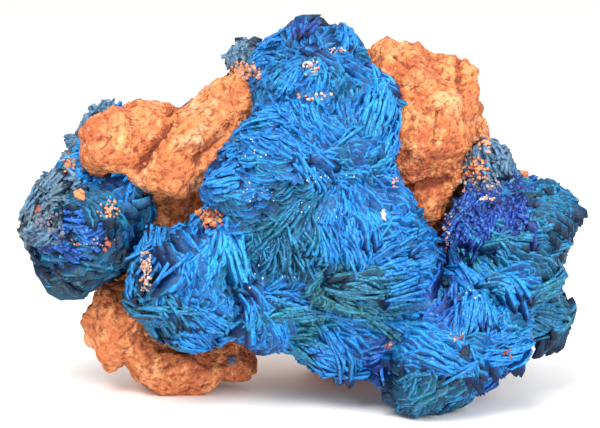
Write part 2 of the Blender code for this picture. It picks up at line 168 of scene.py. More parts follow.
MAIN_FANS = {
    "top_left_cheek": Fan((-1.9, 37.0), (1.8, 36.6), 12),
    "top_crown": Fan((2.0, 39.9), (1.1, 35.9), 12),
    "top_right_cheek": Fan((5.6, 36.1), (1.3, 38.3), 16),
    "top_chin": Fan((1.3, 34.1), (2.0, 38.1), 20),
    "shoulder": Fan((8.2, 33.2), (5.1, 26.1), 18, 1.0, "pale"),
    "upper_left_top": Fan((-3.8, 31.4), (3.1, 26.6), 14),
    "upper_left": Fan((-6.0, 27.7), (3.6, 23.9), 14),
    "upper_left_low": Fan((-6.9, 23.7), (5.6, 22.6), 18),
    "waist_left": Fan((-8.2, 21.0), (5.0, 20.1), 18),
    "upper_middle": Fan((0.7, 29.7), (3.3, 24.3), 14),
    "upper_curl": Fan((5.0, 30.6), (4.6, 28.0), 28, 1.2),
    "upper_right": Fan((10.0, 28.6), (5.1, 24.3), 14),
    "seam": Fan((4.2, 25.2), (-0.4, 27.2), 30, 1.1),
    "waist_right": Fan((10.0, 23.9), (5.0, 25.2), 16),
    "heart": Fan((4.2, 20.3), (4.2, 27.2), 10),
    "heart_right": Fan((8.4, 20.3), (4.4, 25.8), 12),
    "heart_left": Fan((0.0, 20.1), (4.0, 25.4), 16, 1.0, "teal"),
    "heart_far_left": Fan((-4.2, 18.8), (3.3, 20.1), 20, 1.0, "teal"),
    "lower_right_high": Fan((12.7, 19.2), (3.3, 17.4), 12),
    "lower_right": Fan((12.9, 15.2), (2.2, 14.3), 12),
    "lower_right_low": Fan((12.2, 11.4), (2.2, 13.2), 16),
    "lower_steep": Fan((5.8, 14.8), (3.8, 22.8), 14),
    "lower_left_steep": Fan((-1.6, 14.8), (-1.1, 26.1), 16, 1.0, "teal"),
    "olive_valley": Fan((2.4, 11.4), (6.0, 17.2), 24, 1.1, "olive"),
    "lower_rim": Fan((8.4, 9.9), (3.6, 14.1), 30, 1.3, "olive"),
    "petals": Fan((-3.8, 10.7), (-3.8, 10.8), 40, 1.4),
    "petals_side": Fan((-6.4, 10.6), (-4.2, 17.2), 24, 1.1),
    "petals_below": Fan((-4.9, 6.6), (-3.6, 11.0), 30, 1.3),
    "bottom_left": Fan((0.2, 7.0), (-5.6, 8.6), 34, 1.3, "teal"),
    "bottom_middle": Fan((5.0, 6.1), (-0.2, 10.8), 30, 1.3),
    "bottom_right": Fan((8.7, 5.0), (15.6, 6.8), 30, 1.2, "violet"),
    "bright_wall": Fan((-9.8, 14.3), (-8.7, 28.3), 50, 1.8, "pale"),
    "centre_left_top": Fan((-13.1, 18.1), (-9.6, 24.3), 30, 1.4),
    "centre_left_face": Fan((-15.6, 14.1), (-14.0, 22.8), 26, 1.2),
    "centre_left_base": Fan((-15.8, 7.7), (-21.1, 12.1), 34, 1.4, "teal"),
    "centre_left_corner": Fan((-10.4, 8.1), (-14.7, 12.3), 24, 1.1),
    "foot_needles": Fan((15.3, 9.7), (13.3, 1.2), 12, 1.0, "violet"),
    "foot_right": Fan((20.7, 8.3), (16.9, 1.2), 14),
    "foot_plates": Fan((13.9, 5.4), (-1.1, 10.1), 42, 1.7),
    "foot_low_plates": Fan((19.1, 2.1), (2.2, 7.7), 38, 1.5),
    "foot_toe": Fan((14.4, -0.3), (20.0, 4.8), 40, 1.6, "teal"),
    "foot_corner": Fan((23.1, 5.0), (15.6, 6.3), 24, 1.1),
}

LEFT_FANS = {
    "left_layers": Fan((-22.2, 24.1), (-40.0, 24.3), 34, 1.3, "pale"),
    "left_slope": Fan((-23.1, 20.3), (-28.9, 25.4), 22, 1.1, "teal"),
    "left_face": Fan((-18.0, 20.3), (-16.7, 32.8), 48, 1.6),
    "left_edge": Fan((-29.1, 20.1), (-23.3, 22.8), 6, 1.1, "slate"),
    "left_shoulder": Fan((-27.1, 24.3), (-23.1, 19.9), 30, 1.2, "slate"),
    "left_band": Fan((-24.4, 17.4), (-16.7, 16.1), 24, 1.0, "violet"),
    "left_petals": Fan((-24.7, 13.7), (-15.8, 14.8), 46, 1.8, "teal"),
    "left_low": Fan((-20.0, 14.8), (-16.2, 17.7), 30, 1.2, "teal"),
    "left_crust": Fan((-23.9, 31.1), (-20.9, 26.1), 38, 1.2, "slate"),
}

RIGHT_FANS = {
    "right_crown": Fan((22.7, 21.7), (21.1, 30.8), 20, 1.0, "navy"),
    "right_crown_left": Fan((18.0, 20.1), (19.1, 28.3), 24, 1.1, "navy"),
    "right_shoulder": Fan((28.4, 21.0), (22.0, 23.0), 26, 1.2, "teal"),
    "right_side": Fan((27.8, 15.9), (19.8, 17.7), 20, 1.0, "teal"),
    "right_face": Fan((20.2, 15.4), (15.6, 20.3), 18, 1.0, "teal"),
    "right_plate": Fan((21.1, 11.7), (15.3, 16.6), 46, 1.9),
    "right_gap_side": Fan((16.4, 14.8), (16.9, 25.0), 30, 1.2, "navy"),
    "right_lobe": Fan((27.2, 9.2), (18.7, 13.2), 34, 1.4, "teal"),
    "right_crust": Fan((21.1, 26.7), (22.2, 22.6), 36, 1.2, "slate"),
}

SPRIG_FANS = {
    "sprig": Fan((-6.7, 37.8), (-4.0, 33.7), 38, 1.2, "slate"),
}

# A plate that stands out among the blades: its place seen from the front, the angle of its edge
# in degrees, its lean, how coarse it is and its tint.
Plate = namedtuple("Plate", "place angle lean coarseness tint", defaults=("azure",))

PLATES = (
    Plate((-24.2, 24.6), 2, 40, 2.0, "pale"),
    Plate((-21.4, 24.2), -3, 40, 2.2, "pale"),
    Plate((-22.8, 23.4), 0, 50, 1.8),
    Plate((-25.0, 23.2), 8, 30, 1.6, "slate"),
    Plate((-24.6, 21.4), -38, 30, 1.6),
    Plate((-23.2, 20.2), -40, 30, 1.8, "teal"),
    Plate((-22.0, 19.0), -42, 30, 1.6),
    Plate((-20.4, 18.4), -45, 30, 1.6, "teal"),
    Plate((-17.2, 21.8), 72, -150, 2.6, "pale"),
    Plate((-17.9, 20.0), 74, -150, 2.8, "pale"),
    Plate((-18.6, 18.2), 76, -150, 2.4),
    Plate((-17.4, 18.6), 76, -150, 2.6),
    Plate((-26.4, 17.6), 4, 40, 1.8, "slate"),
    Plate((-24.0, 16.4), -8, 40, 2.0, "teal"),
    Plate((-26.4, 14.8), 10, 50, 2.6, "teal"),
    Plate((-25.2, 13.6), 22, 50, 2.8, "teal"),
    Plate((-23.6, 12.8), 36, 50, 2.8, "slate"),
    Plate((-22.0, 12.2), 50, 50, 2.6, "teal"),
    Plate((-21.0, 13.8), 46, 50, 2.4, "teal"),
    Plate((-19.4, 13.6), 64, 50, 2.2),
    Plate((-10.6, 15.2), 84, 70, 3.2, "pale"),
    Plate((-9.4, 13.2), 80, 70, 3.0, "pale"),
    Plate((-11.6, 12.6), 88, 70, 2.8),
    Plate((-8.6, 16.0), 78, 60, 2.4, "pale"),
    Plate((-14.2, 17.8), 60, 40, 2.0),
    Plate((-15.8, 8.6), -20, 50, 2.4, "teal"),
    Plate((-13.6, 7.6), -14, 50, 2.4),
    Plate((20.6, 12.0), -42, 60, 3.0),
    Plate((21.8, 10.8), -38, 60, 2.6, "teal"),
    Plate((18.6, 12.8), -30, 50, 2.2),
    Plate((21.4, 16.2), -62, 50, 2.2, "teal"),
    Plate((26.8, 13.4), -8, 50, 2.0, "teal"),
    Plate((27.6, 9.0), -18, 60, 2.6, "teal"),
    Plate((14.2, 6.0), -16, 60, 2.4),
    Plate((16.6, 5.0), -19, 60, 2.6),
    Plate((19.2, 3.8), -22, 60, 2.4),
    Plate((15.0, 4.2), -17, 60, 2.2),
    Plate((21.6, 4.6), -30, 50, 2.0),
    Plate((12.0, 2.6), -12, 60, 2.4, "teal"),
    Plate((14.8, 1.6), -8, 60, 2.6, "teal"),
    Plate((-3.6, 31.2), 40, 50, 2.0),
    Plate((-1.6, 10.2), 62, 60, 2.2),
    Plate((-5.4, 9.4), -64, 60, 2.2),
    Plate((-4.2, 12.6), 12, 60, 2.0),
    Plate((4.6, 30.4), -20, 60, 2.0, "pale"),
    Plate((6.0, 29.2), -50, 60, 1.8),
    Plate((-7.2, 38.0), 70, 50, 2.0, "slate"),
    Plate((-6.2, 38.6), 40, 50, 2.0, "slate"),
)

# The fans whose crystals are a coarse grit as well as blades.
GRITTY_FANS = ("right_crown", "right_crown_left", "right_crust", "right_shoulder", "left_edge",
               "left_shoulder", "left_crust", "left_band", "sprig", "top_chin", "left_layers")

# Dark clefts between the fans, as lines seen from the front: both ends, half width and depth.
Cleft = namedtuple("Cleft", "start end half_width depth")

CLEFTS = (
    Cleft((-1.6, 33.4), (5.0, 33.0), 0.55, 1.6),
    Cleft((-7.6, 17.8), (-6.4, 6.6), 0.45, 1.4),
    Cleft((0.2, 10.8), (4.6, 8.6), 0.35, 1.0),
    Cleft((1.6, 19.8), (-1.2, 14.8), 0.3, 0.9),
    Cleft((-1.2, 14.8), (0.6, 10.6), 0.3, 0.9),
    Cleft((2.4, 25.0), (9.6, 24.4), 0.3, 0.8),
    Cleft((10.4, 8.0), (15.2, 10.8), 0.5, 1.4),
    Cleft((10.2, 6.8), (22.0, 2.6), 0.3, 1.0),
    Cleft((-12.6, 18.4), (-11.4, 9.4), 0.35, 1.0),
    Cleft((-28.6, 18.8), (-20.6, 15.4), 0.5, 1.3),
    Cleft((-21.0, 20.0), (-16.4, 16.4), 0.3, 0.9),
    Cleft((16.4, 16.4), (22.4, 10.4), 0.4, 1.2),
    Cleft((15.6, 21.6), (15.8, 11.4), 0.7, 2.0),
)

# Base colours of the azurite, as linear red, green and blue.
TINTS = {
    "azure": (0.006, 0.190, 0.570),
    "pale": (0.014, 0.265, 0.700),
    "teal": (0.008, 0.155, 0.315),
    "navy": (0.012, 0.046, 0.290),
    "violet": (0.014, 0.105, 0.470),
    "olive": (0.020, 0.170, 0.280),
    "slate": (0.105, 0.185, 0.280),
}

# Colours of the finishes, as linear red, green and blue; a filter multiplies what is under it.
# ROOT_SHADE_FILTER paints the shade at the blades' roots, down in the grooves between them.
ROOT_SHADE_FILTER = (0.05, 0.09, 0.15)
TEAL_FILTER = (1.5, 1.12, 0.60)
SHADOW_FILTER = (0.36, 0.44, 0.52)
# EDGE_GLINT_COLOUR is a painted glint along the blades' edges.
EDGE_GLINT_COLOUR = (0.11, 0.44, 0.80)
# CORE_DARK and CORE_LIGHT are painted shade in the grooves between the blades; CORE_GLINT paints glints on
# their grain.
CORE_DARK = (0.003, 0.045, 0.140)
CORE_LIGHT = (0.008, 0.110, 0.290)
CORE_GLINT = (0.010, 0.200, 0.500)
STONE_RED = (0.56, 0.14, 0.045)
STONE_PEACH = (0.84, 0.33, 0.12)
STONE_PALE = (0.84, 0.47, 0.27)
STONE_RUST = (0.34, 0.085, 0.035)
STONE_SAND = (0.90, 0.56, 0.36)
# STONE_HOLLOW_SHADE is painted shade in the sandstone's hollows and low places.
STONE_HOLLOW_SHADE = (0.24, 0.050, 0.022)
CRUMB_DUST = (0.35, 0.18, 0.12)
FLOOR_CLOUD = (0.8, 0.78, 0.75)

# Rosettes whose blades are short and close, like a crust.
CRUSTS = ("sprig", "right_crust", "left_crust", "left_shoulder")

# Cracks in the sandstone, seen from the front.
STONE_CRACKS = (
    Cleft((-18.3, 25.0), (-13.9, 31.4), 0.35, 1.5),
    Cleft((11.4, 22.7), (16.6, 23.9), 0.35, 1.3),
    Cleft((-11.4, 25.8), (-8.0, 29.6), 0.5, 1.2),
    Cleft((10.6, 37.8), (12.4, 36.6), 0.3, 0.8),
    Cleft((17.6, 37.4), (17.9, 34.0), 0.4, 1.1),
    Cleft((20.2, 34.2), (20.4, 31.2), 0.35, 0.9),
    Cleft((15.6, 31.4), (15.0, 28.2), 0.35, 0.7),
    Cleft((-15.6, 5.4), (-8.4, 5.6), 0.5, 0.9),
)

# Crumbs of one kind at one place seen from the front: how many, how far they spread in x and z,
# the smallest and largest radius, and their colours.
Crumbs = namedtuple("Crumbs", "place count spread radius colours")

CRUMB_COLOURS = {
    "orange": (0.80, 0.30, 0.11),
    "rust": (0.42, 0.06, 0.03),
    "pink": (0.72, 0.38, 0.32),
    "white": (0.92, 0.90, 0.86),
    "grey": (0.45, 0.42, 0.44),
    "blue": (0.05, 0.16, 0.34),
    "slate": (0.09, 0.16, 0.27),
}

CRUMBS = {
    "left_ball": Crumbs((-24.4, 22.1), 9, (0.5, 0.5), (0.35, 0.55), ("orange",)),
    "left_grains": Crumbs((-21.3, 20.7), 34, (1.2, 0.9), (0.12, 0.28), ("orange", "orange", "pink")),
    "left_rust": Crumbs((-21.4, 16.8), 10, (0.3, 0.7), (0.15, 0.34), ("rust",)),
    "left_edge_rust": Crumbs((-29.1, 20.6), 8, (0.3, 0.5), (0.15, 0.3), ("rust",)),
    "left_edge_grey": Crumbs((-28.0, 19.4), 40, (1.6, 2.0), (0.14, 0.34), ("slate",)),
    "left_sand": Crumbs((-23.0, 16.9), 16, (2.4, 0.5), (0.08, 0.18), ("rust", "grey", "pink")),
    "pink_strip": Crumbs((-17.1, 13.7), 110, (0.5, 2.1), (0.10, 0.24),
                         ("pink", "pink", "grey", "white", "orange")),
    "notch_orange": Crumbs((-9.8, 19.6), 70, (1.1, 0.9), (0.14, 0.34), ("orange", "orange", "rust")),
    "notch_pink": Crumbs((-11.6, 20.4), 14, (1.4, 0.4), (0.14, 0.3), ("orange", "pink")),
    "vug_white": Crumbs((1.2, 36.6), 16, (0.8, 0.5), (0.10, 0.26), ("white",)),
    "vug_orange": Crumbs((1.2, 36.1), 14, (0.9, 0.6), (0.10, 0.22), ("orange", "pink", "grey")),
    "top_streak": Crumbs((3.9, 38.3), 22, (1.1, 0.25), (0.07, 0.15), ("white", "pink")),
    "cleft_orange": Crumbs((1.6, 33.2), 26, (1.8, 0.4), (0.10, 0.26), ("orange", "pink", "white")),
    "white_spot": Crumbs((9.2, 20.2), 12, (0.22, 0.7), (0.10, 0.24), ("white",)),
    # The glints entries are white specks that paint glints of light; the other white crumbs are white
    # specks of the specimen.
    "seam_glints": Crumbs((3.4, 24.2), 14, (2.6, 0.5), (0.05, 0.13), ("white",)),
    "left_glints": Crumbs((-5.4, 26.8), 14, (1.8, 1.6), (0.05, 0.13), ("white",)),
    "waist_glints": Crumbs((-4.2, 22.4), 14, (2.8, 1.2), (0.05, 0.14), ("white", "grey", "orange")),
    "heart_glints": Crumbs((2.6, 20.6), 12, (2.4, 1.6), (0.05, 0.12), ("white",)),
    "petal_glints": Crumbs((-3.6, 12.4), 12, (3.0, 2.0), (0.05, 0.12), ("white",)),
    "right_pink": Crumbs((18.2, 22.9), 8, (0.4, 0.3), (0.10, 0.22), ("pink",)),
    "right_white": Crumbs((20.8, 21.9), 14, (0.9, 0.25), (0.10, 0.22), ("white", "pink")),
    "right_grit": Crumbs((16.4, 17.6), 24, (0.5, 2.6), (0.10, 0.22), ("grey", "pink", "rust")),
    "right_glints": Crumbs((19.6, 11.6), 10, (1.6, 1.0), (0.05, 0.14), ("white",)),
    "foot_rust": Crumbs((23.1, 4.6), 10, (0.5, 0.4), (0.10, 0.24), ("rust",)),
    "bottom_rust": Crumbs((10.0, 5.4), 12, (0.5, 0.4), (0.10, 0.24), ("rust", "grey")),
    "foot_grey": Crumbs((17.4, 6.4), 18, (0.9, 0.6), (0.08, 0.2), ("grey", "rust")),
    "left_foot_dot": Crumbs((-7.6, 3.7), 9, (0.4, 0.4), (0.16, 0.34), ("blue",)),
    "crust_orange": Crumbs((19.0, 25.0), 90, (1.8, 1.3), (0.12, 0.30), ("orange", "orange", "rust")),
    "crust_upper": Crumbs((20.6, 28.4), 30, (1.2, 1.4), (0.14, 0.34), ("orange", "pink")),
    "crust_slate": Crumbs((19.6, 23.2), 50, (2.6, 0.9), (0.12, 0.3), ("slate", "slate", "grey")),
    "sprig_orange": Crumbs((-6.0, 36.0), 90, (1.5, 0.9), (0.12, 0.32), ("orange", "pink")),
    "left_notch": Crumbs((-25.8, 25.8), 22, (0.7, 1.0), (0.12, 0.3), ("orange",)),
    "gap_pink": Crumbs((10.6, 23.6), 12, (0.5, 0.5), (0.08, 0.2), ("pink", "orange")),
}

CLUSTERS = (MAIN_CLUSTER, LEFT_CLUSTER, RIGHT_CLUSTER, TOP_LEFT_SPRIG, BACK_UPPER, BACK_LOWER)

# How a cluster is grown: the start of its pieces' names, its rosettes, its fans, the node that its
# core replaces, its slot, the tints of its sides and back, its seed, and the rosettes whose blades
# make each piece, where they aren't all in one.
Growth = namedtuple("Growth", "name cluster fans node slot tints seed groups", defaults=(None,))

MAIN_GROUPS = {
    "azurite_crown_blades": ("top", "top_left", "right_shoulder"),
    "azurite_upper_blades": ("upper", "upper_left_fan"),
    "azurite_waist_blades": ("heart", "lower"),
    "azurite_lower_left_blades": ("lower_left", "underside", "centre_left"),
    "azurite_lower_right_blades": ("lower_right", "foot"),
}

MAIN_GROWTH = Growth("azurite_main", MAIN_CLUSTER, MAIN_FANS, "azurite_main_cluster", "azurite",
                     ("azure", "teal", "azure", "navy"), 11, MAIN_GROUPS)

SIDE_GROWTHS = (
    Growth("azurite_left", LEFT_CLUSTER, LEFT_FANS, "azurite_left_cluster", "teal_azurite",
           ("teal", "azure", "teal"), 12),
    Growth("azurite_right", RIGHT_CLUSTER, RIGHT_FANS, "azurite_right_cluster", "teal_azurite",
           ("teal", "navy", "azure"), 13),
    Growth("azurite_sprig", TOP_LEFT_SPRIG, SPRIG_FANS, "azurite_top_left_sprig", "teal_azurite",
           ("slate", "teal"), 14),
)

BACK_GROWTHS = (
    Growth("azurite_back_upper", BACK_UPPER, {}, "azurite_back_upper_rosette", "azurite",
           ("azure", "teal", "navy"), 15),
    Growth("azurite_back_lower", BACK_LOWER, {}, "azurite_back_lower_rosette", "azurite",
           ("azure", "violet", "teal"), 16),
)

# The core under a cluster's blades. Here and below, sizes are in millimetres, and the rest are
# shares and counts.
CORE_FLATS = 6
CORE_FLAT_DEPTH = (0.84, 0.96)
CORE_FUSING = 1.5
CORE_VOXEL = 0.66
CORE_SMOOTHING = 5
CORE_RELIEF = 0.7
CORE_RELIEF_SIZE = 4.5
CORE_INSET = 0.60
CORE_ABOVE_FLOOR = 0.5

# Where blades stand, and how deep a place may lie in the sandstone or in another cluster.
LOOSENESS = 0.25
LOWEST_BLADE = 0.45
BURIED_DEPTH = 0.9
DEEP_IN_NEIGHBOUR = -0.4
FACING_FRONT = 0.05

# How blades are laid out: pages of a fan, books of pages, and patches on the sides and back.
FAN_WANDER = 0.9
FAN_WANDER_SIZE = 3.0
FAN_WAVE = 0.10
FAN_WAVE_SIZE = 2.2
FOCUS_RADIUS = 0.4
LEAST_PAGES = 4.0
PAGES_IN_A_BOOK = 4
PLATE_SHARE = 0.55
PLATE_PAGE = 500.0
PATCH_SAMPLES = 55
PATCH_TURN = 0.3
PATCH_COARSENESS = (0.95, 1.1, 1.3)
PATCH_LEANS = (12.0, 20.0, 38.0)
PATCH_BLADE_SHARE = 0.62
CRUST_BLADE_SHARE = 0.42
CRUST_LEAN = -24.0
GRAINS_ON_A_PLACE = 3
GRAIN_LENGTH = (0.1, 0.2)
GRAIN_SPREAD = 0.5
GRAIN_LEAN = (-60.0, 0.0)
GRAIN_COARSENESS = 1.1

# The pattern of a blade: its cuts across and along, its slanted edge, and what lies under it.
BLADE_CUTS = (-0.62, -0.2, 0.2, 0.62)
CHAMFER_START = 0.35
EDGE_LEVEL = 0.9
EDGE_SIZE = (0.97, 0.74, 1.0)
EDGE_OFFSET = 0.16
BLADE_ROOT = 1.3
BLADE_CHAMFER = 0.10
BLADE_END_DEPTH = 0.3
END_SHARPNESS = 7
BLADE_HALF_LENGTH = (1.2, 3.1)
LONGEST_HALF = 3.4
THICKNESS_RANGE = (0.8, 1.1)
BLADE_JAGS = 0.08
BLADE_BEND = 0.05
BLADE_WAVE = 0.02
BLADE_WAVE_RATE = 2.6
FOLLOW_RANGE = (-2.5, 0.5)

# Lean of the blades in degrees, and how much a book or a block changes it.
LEAST_LEAN = 30.0
MOST_LEAN = 54.0
FAN_LEAN_SHARE = 0.5
LEAN_SPREAD = 2.0
BOOK_LEAN = 12.0
BLOCK_LEAN = 22.0
BLOCK_TURN = 8.0

# How high the blades stand: pages and books as shares, then terraces, blocks and cracks.
LOWEST_PAGE = 0.86
PAGE_STEP = 0.26
HEIGHT_SPREAD = 0.10
BOOK_STEP = 0.45
COARSE_STEP = 0.25
LEANING_GROWTH = 0.7
LOWEST_EDGE = 0.22
TERRACE_SIZE = 3.6
TERRACE_STEPS = 3.0
TERRACE_HEIGHT = 1.1
BLOCK_SIZE = 2.8
BLOCK_STEP = 0.8
BLOCK_CRACK = 1.1
BLOCK_CRACK_SHARE = 0.16
FLOOR_CLEARANCE = 0.02
CLEFT_FEATHER = 1.5
ABOVE_THE_SOLID = 0.8

# How light a blade is: the base, then what its page, its book and its block add.
BASE_SHADE = 0.62
PAGE_SHADE = 0.26
BOOK_SHADE = 0.2
BLOCK_SHADE = 0.34
SHADE_SPREAD = 0.07
SHADE_RANGE = (0.45, 1.4)
# The rim share on a blade's faces and its loss towards the ends; from the rim the material paints shade at
# the root and glints on the edge.
LOW_RIM = 0.2
END_RIM_LOSS = 0.4

# The sandstone: the size and the noise seed of each form of its relief, and their heights.
STONE_VOXEL = 0.36
STONE_SMOOTHING = 5
STONE_FORMS = {"broad": (4.6, 21), "lumps": (1.9, 22), "grain": (0.75, 23), "crust": (1.5, 25)}
BROAD_HEIGHT = 0.6
LUMP_HEIGHT = 0.42
CRUST_HEIGHT = 0.14
GRAIN_HEIGHT = 0.20
PIT_DEPTH = 0.25
PIT_SPACING = 1.5
PIT_RADIUS = 0.45
PIT_GAIN = 2.0
PIT_BASE = 0.2
STONE_REST = 0.6
# The hollow share that drives painted shade: how much hollows darken, the darkening everywhere, and how
# much raised relief lightens it.
HOLLOW_GAIN = 7.0
HOLLOW_BASE = 0.25
HOLLOW_BY_RELIEF = 0.35

# Loose crumbs, and those along the seams between sandstone and azurite.
CRUMB_DENTS = 0.45
CRUMB_DENT_SIZE = 0.7
CRUMB_SHRINK = 0.9
CRUMB_LIFT = 0.15
CRUMB_SCATTER = 0.6
CRUMB_STRETCH = (0.55, 1.2)
CRUMB_SHADE = (0.75, 1.1)
SEAM_TRIES = 9000
SEAM_CRUMBS = 260
SEAM_WIDTH = 0.5
SEAM_LOWEST = 0.6
SEAM_RADIUS = (0.18, 0.42)
SEAM_COLOURS = ("orange", "orange", "rust", "pink")

# What keeps apart the numbers of the pages and books of different fans and patches.
PAGE_BY_RING = 0.11
BOOK_BY_RING = 0.37
PAGE_BY_FAN = 7.0
BOOK_BY_FAN = 13.0
PAGE_BY_PATCH = 11.0

# The fixed shares: how they are made, and what makes each use of a number another share.
HASH_RATE = 12.9898
HASH_GAIN = 43758.5453
BLOCK_MIX = Vector((12.9, 78.2, 37.7))
BLOCK_SALT = 0.5
PAGE_SALT = 1.0
BOOK_SALT = 2.0
TURN_SALT = 3.0
LEAN_SALT = 4.0

# Fixed seeds of the noises, and how far a seed's number moves them.
CLOUD_STEP = (17.3, 5.1, 9.7)
CELL_STEP = (3.7, 8.3, 1.9)
CORE_SEED = 9
BLOCK_SEED = 41
TERRACE_SEED = 5
PIT_SEED = 24
DENT_SEED = 31
CRUMB_SEED = 77

# The stage: places in millimetres, light as red, green and blue.
FLOOR_SIZE = 6000.0
LIGHT_AIM = (0.0, 0.0, 18.0)
KEY_PLACE = (-80.0, -220.0, 340.0)
KEY_SIZE = 240.0
KEY_COLOUR = (1.0, 0.98, 0.95)
FILL_PLACE = (170.0, -300.0, 170.0)
FILL_SIZE = 200.0
FILL_COLOUR = (0.97, 0.98, 1.0)
NEAREST_SEEN = 0.01


class Specimen(bpy.types.PropertyGroup):
    """What a user would change on the specimen."""

    blade_spacing: bpy.props.FloatProperty(
        name="Blade spacing",
        description="Distance between neighbouring blade edges in a fine fan, in millimetres",
        default=0.30,
        min=0.2,
        max=1.0,
    )
    blade_thickness: bpy.props.FloatProperty(
        name="Blade thickness",
        description="Thickness of a blade as a share of the spacing; over 1 it grows into the next",
        default=1.45,
        min=0.2,
        max=2.0,
    )
    blade_height: bpy.props.FloatProperty(
        name="Blade height",
        description="How far a blade stands out of its rosette, in millimetres",
        default=0.70,
        min=0.1,
        max=2.0,
    )
    azurite_roughness: bpy.props.FloatProperty(
        name="Azurite roughness",
        description="Roughness of the blades' faces",
        default=0.42,
        min=0.0,
        max=1.0,
        subtype="FACTOR",
    )
    sandstone_relief: bpy.props.FloatProperty(
        name="Sandstone relief",
        description="Strength of the sandstone's lumps, ledges and pits",
        default=1.0,
        min=0.0,
        max=2.0,
    )
    sandstone_colour: bpy.props.FloatVectorProperty(
        name="Sandstone colour",
        description="Main colour of the sandstone",
        default=(0.74, 0.235, 0.075),
        min=0.0,
        max=1.0,
        size=3,
        subtype="COLOR",
    )


class Stage(bpy.types.PropertyGroup):
    """What a user would change on the stage."""

    floor_colour: bpy.props.FloatVectorProperty(
        name="Floor colour",
        description="Colour of the pale floor",
        default=(0.95, 0.945, 0.93),
        min=0.0,
        max=1.0,
        size=3,
        subtype="COLOR",
    )
    key_power: bpy.props.FloatProperty(
        name="Key light",
        description="Power of the large soft light above the front",
        default=1.5,
        min=0.0,
        unit="POWER",
    )
    fill_power: bpy.props.FloatProperty(
        name="Fill light",
        description="Power of the light beside the camera",
        default=0.9,
        min=0.0,
        unit="POWER",
    )
    surround: bpy.props.FloatProperty(
        name="Surround",
        description="Strength of the white surround",
        default=0.96,
        min=0.0,
    )


class Wire:
    """A socket that Python's operators work on: each operation on values adds a Math node."""

    def __init__(self, tree, socket):
        self.tree = tree
        self.socket = socket

    def work(self, operation, *values):
        """Adds one Math node on these values and gives its result."""
        node = self.tree.nodes.new("ShaderNodeMath")
        node.operation = operation
        for slot, value in zip(node.inputs, values):
            plug(self.tree, slot, value)
        return Wire(self.tree, node.outputs[0])

    def __add__(self, other):
        return self.work("ADD", self, other)

    def __radd__(self, other):
        return self.work("ADD", other, self)

    def __sub__(self, other):
        return self.work("SUBTRACT", self, other)

    def __rsub__(self, other):
        return self.work("SUBTRACT", other, self)

    def __mul__(self, other):
        return self.work("MULTIPLY", self, other)

    def __rmul__(self, other):
        return self.work("MULTIPLY", other, self)


def plug(tree, slot, value):
    """Links a wire to a socket, or sets the socket to a plain value."""
    if isinstance(value, Wire):
        tree.links.new(value.socket, slot)
    else:
        slot.default_value = value


class Finish:
    """A material, and the one method that adds its nodes."""

    def __init__(self, name):
        self.material = bpy.data.materials.new(name)
        self.material.use_nodes = True
        self.tree = self.material.node_tree
        self.surface = self.tree.nodes["Principled BSDF"]

    def node(self, kind, settings, sockets, output=0):
        """Adds a node: its settings are set first, then the values or wires of its sockets."""
        made = self.tree.nodes.new("ShaderNode" + kind)
        for name, value in settings.items():
            setattr(made, name, value)
        for name, value in sockets.items():
            plug(self.tree, made.inputs[name], value)
        return Wire(self.tree, made.outputs[output])

    def place(self):
        """Where a point of the surface is, in the object's own axes."""
        return self.node("TexCoord", {}, {}, "Object")

    def attribute(self, name, output="Fac"):
        """What the mesh holds at each point under this name."""
        return self.node("Attribute", {"attribute_name": name}, {}, output)

    def noise(self, place, millimetres, detail=3.0):
        """Cloudy noise from 0 to 1 whose largest swirls are about this wide."""
        sockets = {"Vector": place, "Scale": 1.0 / (millimetres * MM), "Detail": detail}
        return self.node("TexNoise", {}, sockets, "Fac")

    def between(self, value, low, high):
        """0 where the value is under low, 1 where it is over high."""
        sockets = {"Value": value, "From Min": low, "From Max": high}
        return self.node("MapRange", {"clamp": True}, sockets)

    def blend(self, factor, first, second, mode="MIX"):
        """Mixes two colours; the socket numbers are those of the Mix node's colours."""
        settings = {"data_type": "RGBA", "blend_type": mode}
        return self.node("Mix", settings, {0: factor, 6: as_colour(first), 7: as_colour(second)}, 2)

    def bump(self, height, millimetres, strength):
        """The surface's direction, roughened by a height."""
        sockets = {"Height": height, "Distance": millimetres * MM, "Strength": strength}
        return self.node("Bump", {}, sockets)

    def finish(self, colour, roughness, normal):
        """Plugs the surface's three main sockets and gives the material."""
        plug(self.tree, self.surface.inputs["Base Color"], colour)
        plug(self.tree, self.surface.inputs["Roughness"], roughness)
        plug(self.tree, self.surface.inputs["Normal"], normal)
        return self.material


def as_colour(value):
    """A wire as it is, or a plain colour with its alpha."""
    return value if isinstance(value, Wire) else (*value, 1.0)


